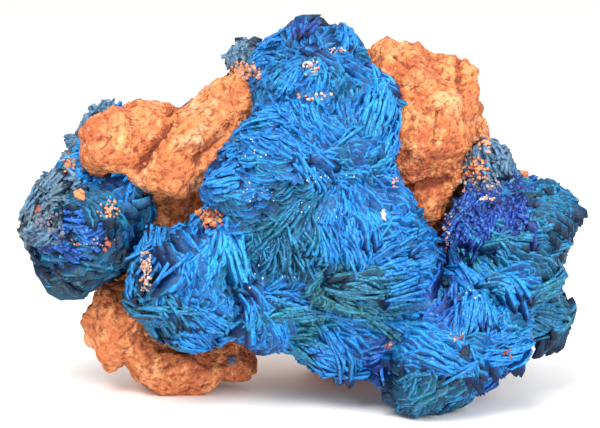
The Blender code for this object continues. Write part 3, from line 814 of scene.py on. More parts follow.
def azurite_finish(roughness):
    """Blades with painted shade darkening their roots, azure on their faces, and painted glints along their
    edges.
    """
    made = Finish("azurite_blades")
    place = made.place()
    tint = made.attribute("tint", "Color")
    rim = made.attribute("rim")
    specks = made.noise(place, 0.30, 4.0)
    clouds = made.noise(place, 3.2, 4.0)
    mottle = made.noise(place, 0.62, 5.0)
    # Painted shade: each blade darkens towards its root, down in the grooves.
    root_shade = made.blend(1.0, tint, ROOT_SHADE_FILTER, "MULTIPLY")
    face = made.blend(made.between(rim, 0.04, 0.46), root_shade, tint)
    teal = made.blend(1.0, face, TEAL_FILTER, "MULTIPLY")
    face = made.blend(made.between(clouds, 0.50, 0.64) * 0.6, face, teal)
    shaded = made.blend(1.0, face, SHADOW_FILTER, "MULTIPLY")
    face = made.blend(made.between(mottle, 0.44, 0.62) * 0.8, face, shaded)
    # Painted glints: lighter specks on the blades' edges, where light catches them.
    edge_glint = made.between(rim, 0.5, 1.0) * made.between(specks, 0.50, 0.62)
    colour = made.blend(edge_glint * 0.45, face, EDGE_GLINT_COLOUR)
    normal = made.bump(specks + mottle, 0.16, 0.8)
    made.surface.inputs["Specular IOR Level"].default_value = 0.3
    return made.finish(colour, roughness + 0.5 * (specks - 0.5), normal)


def core_finish():
    """The azurite between the blades: painted dark for the shade of the grooves, with a crystalline grain
    and painted glints on it.
    """
    made = Finish("azurite_depths")
    place = made.place()
    grain = made.noise(place, 0.35, 4.0)
    clouds = made.noise(place, 1.4)
    # Painted shade of the grooves, with painted glints where the grain is high.
    deep = made.blend(clouds, CORE_DARK, CORE_LIGHT)
    colour = made.blend(made.between(grain, 0.42, 0.60) * 0.75, deep, CORE_GLINT)
    return made.finish(colour, 0.5 + 0.2 * clouds, made.bump(grain, 0.2, 0.9))


def sandstone_finish(main_colour):
    """Orange sandstone, peach in patches and sandy; painted shade darkens its hollows and low places
    red-brown.
    """
    made = Finish("weathered_sandstone")
    place = made.place()
    hollow = made.attribute("hollow")
    broad = made.noise(place, 8.0)
    patches = made.noise(place, 2.0, 6.0)
    grain = made.noise(place, 0.55, 5.0)
    sand = made.node("TexVoronoi", {}, {"Vector": place, "Scale": 1.0 / (0.4 * MM)}, "Distance")
    red = made.blend(made.between(broad, 0.42, 0.60), STONE_RED, main_colour)
    peach = made.blend(made.between(patches, 0.48, 0.62), red, STONE_PEACH)
    pale = made.between(broad, 0.56, 0.68) * made.between(patches, 0.45, 0.62)
    pale = made.blend(pale * 0.6, peach, STONE_PALE)
    rust = made.between(grain, 0.50, 0.66) * 0.7
    speckled = made.blend(rust, pale, STONE_RUST)
    speckled = made.blend(made.between(grain, 0.42, 0.30) * 0.4, speckled, STONE_SAND)
    # Painted shade: red-brown in hollows, cracks and low places.
    colour = made.blend(made.between(hollow, 0.25, 0.9) * 0.85, speckled, STONE_HOLLOW_SHADE)
    height = grain * 1.2 + patches * 0.8 - 0.5 * sand
    return made.finish(colour, 0.85 + 0.1 * grain, made.bump(height, 0.45, 1.0))


def crumb_finish():
    """Loose crumbs, each of its own colour."""
    made = Finish("crumbs")
    place = made.place()
    grain = made.noise(place, 0.2)
    tint = made.attribute("tint", "Color")
    colour = made.blend(grain * 0.5, tint, CRUMB_DUST)
    return made.finish(colour, 0.55 + 0.3 * grain, made.bump(grain, 0.08, 0.6))


def floor_finish(colour):
    """A pale, almost plain floor."""
    made = Finish("pale_floor")
    clouds = made.noise(made.place(), 60.0)
    tone = made.blend(clouds * 0.04, colour, FLOOR_CLOUD)
    return made.finish(tone, 0.6, made.bump(clouds, 0.01, 0.02))


def deselect_all():
    """Leaves no object selected."""
    for obj in list(bpy.context.selected_objects):
        obj.select_set(False)


def make_active(obj):
    """Makes this the one selected object, which operators then work on."""
    deselect_all()
    obj.select_set(True)
    bpy.context.view_layer.objects.active = obj


def apply_modifiers(obj):
    """Applies an object's modifiers in their order."""
    make_active(obj)
    for modifier in list(obj.modifiers):
        bpy.ops.object.modifier_apply(modifier=modifier.name)


def select_points(obj, test):
    """Selects a mesh's points by their place; the object is in object mode."""
    for point in obj.data.vertices:
        point.select = test(point.co)
    for edge in obj.data.edges:
        edge.select = all(obj.data.vertices[i].select for i in edge.vertices)
    for face in obj.data.polygons:
        face.select = all(obj.data.vertices[i].select for i in face.vertices)


def dress(piece, finish, slot):
    """Gives a finished piece its material and its place on the specimen; the slot argument is not used."""
    piece.data.materials.clear()
    piece.data.materials.append(finish)
    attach(piece, "root")


def seen_from_front(points):
    """Where points show on the plane that the camera faces, as x and z in millimetres."""
    away = points - CAMERA_AIM
    shrink = CAMERA_DISTANCE / (CAMERA_DISTANCE - away @ TO_CAMERA)
    return np.stack((away @ CAMERA_RIGHT * shrink, FRONT_MIDDLE_HEIGHT + away @ CAMERA_UP * shrink), axis=1)


def moved_by(seed, step):
    """How far a seed's number moves a noise."""
    return Vector([seed * part for part in step])


def cloud(points, millimetres, seed):
    """Smooth noise of about -1 to 1 at each point."""
    offset = moved_by(seed, CLOUD_STEP)
    return np.array([noise.fractal(Vector(p) / millimetres + offset, 1.0, 2.0, 3) for p in points])


def cleft_depth(seen, clefts):
    """How far the nearest cleft draws the surface in at each place seen from the front."""
    drawn = np.zeros(len(seen))
    for cleft in clefts:
        start = np.array(cleft.start)
        run = np.array(cleft.end) - start
        share = np.clip((seen - start) @ run / (run @ run), 0.0, 1.0)
        distance = np.linalg.norm(seen - start - share[:, None] * run, axis=1)
        nearness = np.clip(1.0 - distance / cleft.half_width / CLEFT_FEATHER, 0.0, 1.0)
        drawn = np.maximum(drawn, cleft.depth * np.sqrt(nearness))
    return drawn


def rows_of(items, name):
    """A vector that every vertex or face of a mesh has, one row for each."""
    flat = np.empty(len(items) * 3)
    items.foreach_get(name, flat)
    return flat.reshape(-1, 3)


def points_of(mesh):
    """A mesh's points in millimetres."""
    return rows_of(mesh.vertices, "co") / MM


def set_points(mesh, points):
    """Moves a mesh's points to places in millimetres."""
    mesh.vertices.foreach_set("co", (points * MM).ravel())
    mesh.update()


def add_piece(name, data):
    """Puts a mesh, a light or a camera into the scene as an object."""
    piece = bpy.data.objects.new(name, data)
    bpy.context.collection.objects.link(piece)
    return piece


def taken_apart(pattern):
    """The points and faces of a modelled pattern, whose object is then removed."""
    points = np.array([point.co for point in pattern.data.vertices])
    faces = [tuple(face.vertices) for face in pattern.data.polygons]
    bpy.data.objects.remove(pattern, do_unlink=True)
    return points, faces


def fuse(obj, voxel, smoothing):
    """Makes one closed skin of a mesh and rounds it off."""
    fused = obj.modifiers.new("fused", "REMESH")
    fused.mode = "VOXEL"
    fused.voxel_size = voxel * MM
    soften = obj.modifiers.new("soften", "SMOOTH")
    soften.factor = 0.5
    soften.iterations = smoothing
    apply_modifiers(obj)


def swell(obj, distance):
    """Moves every point of a mesh out along its normal, in millimetres."""
    normals = rows_of(obj.data.vertices, "normal")
    set_points(obj.data, points_of(obj.data) + normals * np.reshape(distance, (-1, 1)))


def grow_core(name, cluster, chance):
    """The body under a cluster's blades: its rosettes as balls with flats, fused and smoothed."""
    balls = []
    for title, rosette in cluster.items():
        bpy.ops.mesh.primitive_ico_sphere_add(subdivisions=4, radius=1.0)
        ball = bpy.context.active_object
        points = rows_of(ball.data.vertices, "co")
        flats = [(chance.normal(size=3), chance.uniform(*CORE_FLAT_DEPTH)) for _ in range(CORE_FLATS)]
        for way, depth in flats + list(FLATS.get(title, ())):
            way = unit(np.array([way]))[0]
            over = np.clip(points @ way - depth, 0.0, None)
            points = points - over[:, None] * way
        points = points * np.array(rosette.half_size) + rosette.centre - FOOTPRINT_CENTRE
        set_points(ball.data, points)
        balls.append(ball)
    deselect_all()
    for ball in balls:
        ball.select_set(True)
    bpy.context.view_layer.objects.active = balls[0]
    bpy.ops.object.join()
    core = bpy.context.active_object
    core.name = name
    core.data.name = name
    fuse(core, CORE_VOXEL, 1)
    swell(core, CORE_FUSING)
    fuse(core, CORE_VOXEL, 2)
    swell(core, -CORE_FUSING)
    fuse(core, CORE_VOXEL, CORE_SMOOTHING)
    swell(core, CORE_RELIEF * cloud(points_of(core.data), CORE_RELIEF_SIZE, CORE_SEED) - CORE_INSET)
    points = points_of(core.data)
    points[:, 2] = np.maximum(points[:, 2], CORE_ABOVE_FLOOR)
    set_points(core.data, points)
    return core


def from_middle(points, rosette):
    """Distance of points from a rosette's middle, as a share of its half sizes."""
    offset = points + FOOTPRINT_CENTRE - rosette.centre
    return np.linalg.norm(offset / np.array(rosette.half_size), axis=1)


def nearest_rosette(points, cluster):
    """For each point, the number in its cluster of the rosette that it is nearest to."""
    return np.argmin([from_middle(points, rosette) for rosette in cluster.values()], axis=0)


def depth_in(points, cluster):
    """Distance outside a cluster's rosettes in millimetres, under 0 inside them."""
    outside = [(from_middle(points, r) - 1.0) * min(r.half_size) for r in cluster.values()]
    return np.min(outside, axis=0)


def stone_tree():
    """The packed sandstone solid, ready for finding its nearest places."""
    stone = frame["nodes"]["sandstone_matrix"]
    return BVHTree.FromObject(stone, bpy.context.evaluated_depsgraph_get())


def clear_of_stone(points, tree):
    """True where a point isn't buried deep in the sandstone."""
    clear = []
    for point in points:
        place, normal, _, distance = tree.find_nearest(Vector(point * MM))
        inside = (Vector(point * MM) - place).dot(normal) < 0
        clear.append(not inside or distance < BURIED_DEPTH * MM)
    return np.array(clear)


def unit(rows):
    """Vectors brought to a length of 1."""
    return rows / np.maximum(np.linalg.norm(rows, axis=1, keepdims=True), 1e-9)


def flattened(rows, normals):
    """Vectors without their part along unit normals."""
    return rows - np.sum(rows * normals, axis=1, keepdims=True) * normals


def surface_samples(core, chance):
    """A place and a normal on each face of a core, in a random order."""
    order = chance.permutation(len(core.data.polygons))
    places = rows_of(core.data.polygons, "center")[order] / MM
    normals = unit(rows_of(core.data.polygons, "normal")[order])
    return places + flattened(chance.normal(0.0, LOOSENESS, places.shape), normals), normals


# What each blade needs, a column for each: place, the way out of the surface, the way its edge
# runs, the numbers of its page and of its book of pages, tint, lean, coarseness and length.
Lines = namedtuple("Lines", "place out along page book tint lean coarseness length")


def joined(parts):
    """Several sets of lines as one."""
    return Lines(*(np.concatenate(column) for column in zip(*parts)))


def blocks(points, millimetres, seed):
    """The blocks that a surface breaks into: a share for the block each point is in, and the
    distance to the block's edge as a share of its size."""
    offset = moved_by(seed, CELL_STEP)
    shares = np.empty(len(points))
    edges = np.empty(len(points))
    for row, point in enumerate(points):
        distances, middles = noise.voronoi(Vector(point) / millimetres + offset)
        shares[row] = middles[0].dot(BLOCK_MIX)
        edges[row] = distances[1] - distances[0]
    return hashed(shares, BLOCK_SALT), edges


def turned_about(rows, axes, angles):
    """Vectors turned about unit axes at right angles to them."""
    angles = angles[:, None]
    return np.cos(angles) * rows + np.sin(angles) * np.cross(axes, rows)


def fan_lines(places, normals, fans, spacing, chance):
    """Blades seen from the front, in pages that radiate from the focus of the nearest fan."""
    seen = seen_from_front(places)
    wander = np.stack([cloud(places, FAN_WANDER_SIZE, seed) for seed in (1, 2)], axis=1) * FAN_WANDER
    middles = np.array([fan.middle for fan in fans.values()])
    which = np.argmin(np.linalg.norm((seen + wander)[:, None] - middles[None], axis=2), axis=1)
    names = np.array(list(fans))[which]
    picked = [fans[name] for name in names]
    focus = np.array([fan.focus for fan in picked])
    coarseness = np.array([fan.coarseness for fan in picked])
    tint = np.array([TINTS[fan.tint] for fan in picked])
    lean = np.array([fan.lean for fan in picked], float)
    away = seen - focus
    distance = np.maximum(np.hypot(away[:, 0], away[:, 1]), FOCUS_RADIUS)
    angle = np.arctan2(away[:, 1], away[:, 0]) + FAN_WAVE * cloud(places, FAN_WAVE_SIZE, 3)
    pages_round = 2.0 ** np.round(np.log2(math.tau * distance / (spacing * coarseness)))
    step = math.tau / np.maximum(pages_round, LEAST_PAGES)
    page = np.round(angle / step)
    turned = (page * step)[:, None]
    shift = ((page * step - angle) * distance)[:, None]
    along = np.cos(turned) * CAMERA_RIGHT + np.sin(turned) * CAMERA_UP
    across = flattened(np.cos(turned) * CAMERA_UP - np.sin(turned) * CAMERA_RIGHT, normals)
    book = np.floor(angle / (step * PAGES_IN_A_BOOK)) + BOOK_BY_RING * pages_round + BOOK_BY_FAN * which
    page = page + PAGE_BY_RING * pages_round + PAGE_BY_FAN * which
    length = np.ones(len(page))
    whole = Lines(places + across * shift, normals, along, page, book, tint, lean, coarseness, length)
    return joined((whole, grains(whole, np.isin(names, GRITTY_FANS), chance)))


def grains(lines, gritty, chance):
    """Short crystals that stand every way, several on each gritty blade's place."""
    rows = np.repeat(np.flatnonzero(gritty), GRAINS_ON_A_PLACE)
    count = len(rows)
    out = unit(lines.out[rows] + chance.normal(0.0, LOOSENESS, (count, 3)))
    loose = flattened(chance.normal(0.0, GRAIN_SPREAD, (count, 3)), out)
    along = np.cross(out, chance.normal(size=(count, 3)))
    length = chance.uniform(*GRAIN_LENGTH, count)
    number = np.arange(count, dtype=float)
    lean = chance.uniform(*GRAIN_LEAN, count)
    coarseness = np.full(count, GRAIN_COARSENESS)
    return Lines(lines.place[rows] + loose, out, along, number, number, lines.tint[rows], lean,
                 coarseness, length)


def plate_lines(tree):
    """The plates that stand out on a core, found along the line of sight."""
    rows = []
    for number, plate in enumerate(PLATES):
        eye, way = ray_to(plate.place)
        hit = tree.ray_cast(Vector(eye * MM), Vector(way))
        if hit[0] is None:
            continue
        angle = math.radians(plate.angle)
        along = math.cos(angle) * CAMERA_RIGHT + math.sin(angle) * CAMERA_UP
        rows.append(Lines(np.array(hit[0]) / MM, np.array(hit[1]), along, PLATE_PAGE + number, PLATE_PAGE,
                          np.array(TINTS[plate.tint]), plate.lean, plate.coarseness, PLATE_SHARE))
    return Lines(*(np.array(column, float) for column in zip(*rows))) if rows else None


def patch_lines(places, normals, cluster, spacing, tints, chance):
    """Blades on the sides and back, in patches whose pages run with the rosette's fan."""
    seeds = chance.choice(len(places), max(2, len(places) // PATCH_SAMPLES), replace=False)
    which = np.argmin(np.linalg.norm(places[:, None] - places[seeds][None], axis=2), axis=1)
    rosettes = list(cluster.values())
    axes = np.array([rosettes[i].fan_axis for i in nearest_rosette(places[seeds], cluster)], float)
    axes = unit(axes + chance.normal(0.0, PATCH_TURN, (len(seeds), 3)))
    across = unit(np.cross(normals[seeds], axes))[which]
    offset = np.sum(places * across, axis=1)
    coarseness = chance.choice(PATCH_COARSENESS, len(seeds))[which]
    page = np.round(offset / (spacing * coarseness))
    slide = (page * spacing * coarseness - offset)[:, None]
    lean = chance.choice(PATCH_LEANS, len(seeds))[which]
    tint = np.array([TINTS[name] for name in tints])[chance.integers(0, len(tints), len(seeds))][which]
    book = np.floor(page / PAGES_IN_A_BOOK) + BOOK_BY_FAN * which
    length = np.full(len(page), PATCH_BLADE_SHARE)
    return Lines(places + flattened(across, normals) * slide, normals, np.cross(across, normals),
                 page + PAGE_BY_PATCH * which, book, tint, lean, coarseness, length)


def model_blade():
    """One chisel-edged blade, two units long: X runs with its edge, Y through it, Z to its edge."""
    bpy.ops.mesh.primitive_cube_add(size=2.0)
    blade = bpy.context.active_object
    blade.name = "blade_pattern"
    bpy.ops.object.mode_set(mode="EDIT")
    cuts = [((x, 0, 0), (1, 0, 0)) for x in BLADE_CUTS] + [((0, 0, CHAMFER_START), (0, 0, 1))]
    for place, way in cuts:
        bpy.ops.mesh.select_all(action="SELECT")
        bpy.ops.mesh.bisect(plane_co=place, plane_no=way)
    bpy.ops.object.mode_set(mode="OBJECT")
    select_points(blade, lambda co: co.z > EDGE_LEVEL)
    bpy.ops.object.mode_set(mode="EDIT")
    bpy.ops.transform.resize(value=EDGE_SIZE)
    bpy.ops.transform.translate(value=(0.0, EDGE_OFFSET, 0.0))
    bpy.ops.object.mode_set(mode="OBJECT")
    points, faces = taken_apart(blade)
    return points * (1.0, 0.5, 1.0), faces


def mesh_of_copies(name, points, faces):
    """A mesh of many like shapes: points holds one row of places for each copy, in millimetres."""
    copies, each = points.shape[:2]
    mesh = bpy.data.meshes.new(name)
    mesh.vertices.add(copies * each)
    mesh.vertices.foreach_set("co", (points * MM).ravel())
    corners = np.concatenate([np.array(face) for face in faces])
    sizes = np.array([len(face) for face in faces])
    every = (corners[None] + np.arange(copies)[:, None] * each).ravel()
    totals = np.tile(sizes, copies)
    mesh.loops.add(len(every))
    mesh.loops.foreach_set("vertex_index", every)
    mesh.polygons.add(len(totals))
    mesh.polygons.foreach_set("loop_start", np.concatenate(([0], np.cumsum(totals)[:-1])))
    mesh.polygons.foreach_set("loop_total", totals)
    mesh.update(calc_edges=True)
    return mesh


def add_number(mesh, name, values):
    """Gives a mesh a number at each point, for its material to read."""
    made = mesh.attributes.new(name, "FLOAT", "POINT")
    made.data.foreach_set("value", np.asarray(values, float).ravel())


def add_colour(mesh, name, rows):
    """Gives a mesh a colour at each point, for its material to read."""
    made = mesh.attributes.new(name, "FLOAT_COLOR", "POINT")
    made.data.foreach_set("color", np.hstack((rows, np.ones((len(rows), 1)))).ravel())


def hashed(numbers, salt):
    """A fixed share of 0 to 1 for each number."""
    return np.abs(np.sin(numbers * HASH_RATE + salt) * HASH_GAIN) % 1.0


def follow_core(tree, spots, out):
    """How far the core lies above or below each station of each blade, along its way out."""
    bases = [tree.find_nearest(Vector(spot * MM))[0] for spot in spots.reshape(-1, 3)]
    rise = np.sum((np.array(bases).reshape(spots.shape) / MM - spots) * out[:, None], axis=2)
    return np.clip(rise, *FOLLOW_RANGE)


def broken_relief(spots, facing, calm):
    """How far each station of each blade stands higher by its block, and lower by its cracks."""
    flat = spots.reshape(-1, 3)
    shares, edges = (column.reshape(spots.shape[:2]) for column in blocks(flat, BLOCK_SIZE, BLOCK_SEED))
    drawn = cleft_depth(seen_from_front(flat), CLEFTS).reshape(spots.shape[:2])
    crack = BLOCK_CRACK * np.clip(1.0 - edges / BLOCK_CRACK_SHARE, 0.0, 1.0)
    return BLOCK_STEP * (shares - 0.5) * calm[:, None], crack + drawn * facing[:, None]


def blade_axes(lines, book_share, block_share, calm, chance):
    """The ways that each blade runs, stands and is thick, and its lean in radians."""
    out = lines.out
    turn = math.radians(BLOCK_TURN) * calm * (2.0 * hashed(block_share, TURN_SALT) - 1.0)
    along = turned_about(unit(flattened(lines.along, out)), out, turn)
    across = np.cross(out, along)
    lean = LEAST_LEAN + FAN_LEAN_SHARE * lines.lean + chance.normal(0.0, LEAN_SPREAD, len(calm))
    lean += BOOK_LEAN * (book_share - 0.5)
    lean += BLOCK_LEAN * calm * (hashed(block_share, LEAN_SALT) - 0.5)
    lean = np.radians(np.minimum(lean, MOST_LEAN))[:, None]
    stand = np.cos(lean) * out + np.sin(lean) * across
    return along, stand, np.cross(stand, along), lean


def blade_sizes(lines, page_share, book_share, lean, settings, chance):
    """Each blade's half length, height and thickness in millimetres."""
    count = len(lines.place)
    half_length = chance.uniform(*BLADE_HALF_LENGTH, count) * lines.coarseness * lines.length
    height = LOWEST_PAGE + PAGE_STEP * page_share + HEIGHT_SPREAD * chance.random(count)
    height = settings.blade_height * height
    terrace = np.floor(TERRACE_STEPS * cloud(lines.place, TERRACE_SIZE, TERRACE_SEED)) / TERRACE_STEPS
    height += BOOK_STEP * (book_share - 0.5) + TERRACE_HEIGHT * np.clip(terrace, -0.5, 0.5)
    height += COARSE_STEP * (lines.coarseness - 1.0)
    height = height / np.cos(lean[:, 0]) ** LEANING_GROWTH
    thickness = settings.blade_spacing * settings.blade_thickness * lines.coarseness
    thickness = thickness * np.cos(lean[:, 0]) * chance.uniform(*THICKNESS_RANGE, count)
    return np.minimum(half_length, LONGEST_HALF), height, thickness


def blade_mesh(name, lines, tree, pattern, settings, chance):
    """Every blade of a piece in one mesh, with its tint and how near each point is to an edge."""
    shape, faces = pattern
    x, y, z = shape.T
    count = len(lines.place)
    page_share = hashed(lines.page, PAGE_SALT)
    book_share = hashed(lines.book, BOOK_SALT)
    block_share, _ = blocks(lines.place, BLOCK_SIZE, BLOCK_SEED)
    calm = lines.coarseness ** -2.0
    along, stand, through, lean = blade_axes(lines, book_share, block_share, calm, chance)
    half_length, height, thickness = blade_sizes(lines, page_share, book_share, lean, settings, chance)
    stations = np.unique(np.round(x, 2))
    which = np.argmin(np.abs(x[:, None] - stations[None]), axis=1)
    run = x[None] * half_length[:, None]
    spots = lines.place[:, None] + (stations[None] * half_length[:, None])[..., None] * along[:, None]
    follow = follow_core(tree, spots, lines.out)[:, which] / np.cos(lean)
    step, crack = broken_relief(spots, lines.out @ TO_CAMERA > 0, calm)
    height = (np.maximum(height[:, None] + step, LOWEST_EDGE) - crack)[:, which]
    dive = (height + BLADE_END_DEPTH) * np.abs(x[None]) ** END_SHARPNESS
    top = height - BLADE_CHAMFER / (1.0 - CHAMFER_START) * (1.0 - z[None]) - dive
    jags = chance.normal(0.0, BLADE_JAGS, (count, len(stations)))[:, which]
    rise = np.where(z[None] > 0, top + jags, -BLADE_ROOT) + follow
    bend = chance.normal(0.0, BLADE_BEND, count)[:, None] * x[None] ** 2
    phase = chance.uniform(0.0, math.tau, count)[:, None]
    side = y[None] * thickness[:, None] + (bend + BLADE_WAVE * np.sin(BLADE_WAVE_RATE * x[None] + phase))
    points = lines.place[:, None] + run[..., None] * along[:, None] + rise[..., None] * stand[:, None]
    points = points + side[..., None] * through[:, None]
    points[..., 2] = np.clip(points[..., 2], FLOOR_CLEARANCE, CAD_BOX[1][2] / MM + ABOVE_THE_SOLID)
    mesh = mesh_of_copies(name, points, faces)
    # The rim share is 1 on a blade's edge, LOW_RIM on its faces and 0 at its root; the material paints
    # shade at the root and glints on the edge from it.
    rim = np.where(z > EDGE_LEVEL, 1.0, np.where(z > 0, LOW_RIM, 0.0))
    rim = rim * (1.0 - END_RIM_LOSS * np.abs(x) ** 3)
    add_number(mesh, "rim", np.tile(rim, count))
    shade = BASE_SHADE + PAGE_SHADE * page_share + BOOK_SHADE * book_share + BLOCK_SHADE * block_share
    shade = np.clip(shade + chance.normal(0.0, SHADE_SPREAD, count), *SHADE_RANGE)
    tint = np.clip(lines.tint * shade[:, None], 0.0, 1.0)
    add_colour(mesh, "tint", np.repeat(tint, len(shape), axis=0))
    return mesh


def free_places(core, cluster, chance):
    """Places and normals on a core that no other cluster, the floor or the sandstone buries."""
    places, normals = surface_samples(core, chance)
    free = places[:, 2] > LOWEST_BLADE
    for other in CLUSTERS:
        if other is not cluster:
            free &= depth_in(places, other) > DEEP_IN_NEIGHBOUR
    free &= clear_of_stone(places, stone_tree())
    return places[free], normals[free]


def grow_cluster(growth, settings):
    """The core that replaces a cluster's solid, and the blades over it, a piece for each group."""
    name, cluster, fans, node, slot, tints, seed, groups = growth
    chance = np.random.default_rng(seed)
    core = grow_core(name + "_core", cluster, chance)
    dress(core, core_finish(), slot)
    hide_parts(node)
    tree = BVHTree.FromObject(core, bpy.context.evaluated_depsgraph_get())
    places, normals = free_places(core, cluster, chance)
    facing = normals @ TO_CAMERA > FACING_FRONT
    facing &= len(fans) > 0
    spacing = settings.blade_spacing
    parts = []
    if facing.any():
        parts.append(fan_lines(places[facing], normals[facing], fans, spacing, chance))
        parts.append(plate_lines(tree))
    parts.append(patch_lines(places[~facing], normals[~facing], cluster, spacing, tints, chance))
    lines = joined([part for part in parts if part])
    owner = np.array(list(cluster))[nearest_rosette(lines.place, cluster)]
    grit = lines.length < 2.0 * GRAIN_LENGTH[1]
    crust = np.isin(owner, CRUSTS)
    lines = lines._replace(length=np.where(crust, CRUST_BLADE_SHARE, 1.0) * lines.length,
                           lean=np.where(crust, CRUST_LEAN, lines.lean))
    groups = groups or {name + "_blades": tuple(cluster)}
    choices = {group: np.isin(owner, members) & ~grit for group, members in groups.items()}
    if grit.any():
        choices[name + "_grit_blades"] = grit
    finish = azurite_finish(settings.azurite_roughness)
    pattern = model_blade()
    for group, chosen in choices.items():
        mine = Lines(*(column[chosen] for column in lines))
        piece = add_piece(group, blade_mesh(group, mine, tree, pattern, settings, chance))
        dress(piece, finish, slot)


def neighbour_hollows(mesh):
    """How far each point lies under the middle of its neighbours, in millimetres."""
    points = points_of(mesh)
    ends = np.empty(len(mesh.edges) * 2, np.int32)
    mesh.edges.foreach_get("vertices", ends)
    ends = ends.reshape(-1, 2)
    total = np.zeros_like(points)
    number = np.zeros(len(points))
    for first, second in (ends.T, ends.T[::-1]):
        np.add.at(total, first, points[second])
        np.add.at(number, first, 1.0)
    normals = rows_of(mesh.vertices, "normal")
    return np.sum((total / number[:, None] - points) * normals, axis=1)


def cells(points, millimetres, seed):
    """Distance to the nearest of many scattered spots, as a share of their spacing."""
    offset = moved_by(seed, CELL_STEP)
    return np.array([noise.voronoi(Vector(p) / millimetres + offset)[0][0] for p in points])


def weather_sandstone(settings):
    """The sandstone: its solid cut finer, with lumps, pits, cracks and grain raised in it."""
    packed = frame["nodes"]["sandstone_matrix"]
    stone = add_piece("weathered_sandstone", packed.data.copy())
    make_active(stone)
    bpy.ops.object.mode_set(mode="EDIT")
    bpy.ops.mesh.select_all(action="SELECT")
    bpy.ops.mesh.remove_doubles(threshold=0.001 * MM)
    bpy.ops.object.mode_set(mode="OBJECT")
    fuse(stone, STONE_VOXEL, STONE_SMOOTHING)
    points = points_of(stone.data)
    normals = rows_of(stone.data.vertices, "normal")
    form = {name: cloud(points, size, seed) for name, (size, seed) in STONE_FORMS.items()}
    pits = np.clip(1.0 - cells(points, PIT_SPACING, PIT_SEED) / PIT_RADIUS, 0.0, 1.0)
    pits = pits * np.clip(form["broad"] * PIT_GAIN + PIT_BASE, 0.0, 1.0)
    relief = BROAD_HEIGHT * form["broad"] + LUMP_HEIGHT * form["lumps"]
    relief = relief + CRUST_HEIGHT * (1.0 - 2.0 * np.abs(form["crust"]))
    relief = relief + GRAIN_HEIGHT * form["grain"] - PIT_DEPTH * pits
    front = normals @ TO_CAMERA > 0
    cracks = cleft_depth(seen_from_front(points), STONE_CRACKS) * front
    relief = relief * settings.sandstone_relief - cracks
    rested = np.clip(points[:, 2] / STONE_REST, 0.0, 1.0)
    points = points + normals * (relief * rested)[:, None]
    points[:, 2] = np.maximum(points[:, 2], 0.0)
    set_points(stone.data, points)
    # The hollow share drives painted shade in the material: darker in hollows and low relief.
    hollow = neighbour_hollows(stone.data) * HOLLOW_GAIN + HOLLOW_BASE - HOLLOW_BY_RELIEF * relief
    add_number(stone.data, "hollow", np.clip(hollow, 0.0, 1.0))
    make_active(stone)
    bpy.ops.object.shade_smooth()
    dress(stone, sandstone_finish(settings.sandstone_colour), "sandstone")
    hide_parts("sandstone_matrix")


def model_crumb():
    """One crumb: a ball with dents and corners."""
    bpy.ops.mesh.primitive_ico_sphere_add(subdivisions=2, radius=1.0)
    points, faces = taken_apart(bpy.context.active_object)
    dents = CRUMB_DENTS * cloud(points, CRUMB_DENT_SIZE, DENT_SEED)
    return points * (1.0 + dents)[:, None], faces


def turns(count, chance):
    """Random turns as rotation matrices."""
    made = []
    for _ in range(count):
        angle = chance.uniform(0.0, math.tau)
        made.append(Matrix.Rotation(angle, 3, Vector(chance.normal(size=3)).normalized()))
    return np.array(made)


def ray_to(place):
    """The line of sight through a place seen from the front: where it starts and its way."""
    eye = CAMERA_AIM + CAMERA_DISTANCE * TO_CAMERA
    aim = CAMERA_AIM + place[0] * CAMERA_RIGHT + (place[1] - FRONT_MIDDLE_HEIGHT) * CAMERA_UP
    return eye, unit((aim - eye)[None])[0]


def first_hit(trees, place):
    """The nearest surface seen at a place from the front, or None off the specimen."""
    eye, way = ray_to(place)
    hits = [tree.ray_cast(Vector(eye * MM), Vector(way)) for tree in trees]
    hits = [hit for hit in hits if hit[0] is not None]
    return min(hits, key=lambda hit: hit[3]) if hits else None


def contact_places(chance):
    """Places along the seams where the sandstone meets the azurite."""
    stone = bpy.data.objects["weathered_sandstone"].data
    points = points_of(stone)
    points = points[chance.choice(len(points), SEAM_TRIES, replace=False)]
    near = np.min([np.abs(depth_in(points, cluster)) for cluster in CLUSTERS], axis=0)
    return points[(near < SEAM_WIDTH) & (points[:, 2] > SEAM_LOWEST)][:SEAM_CRUMBS]


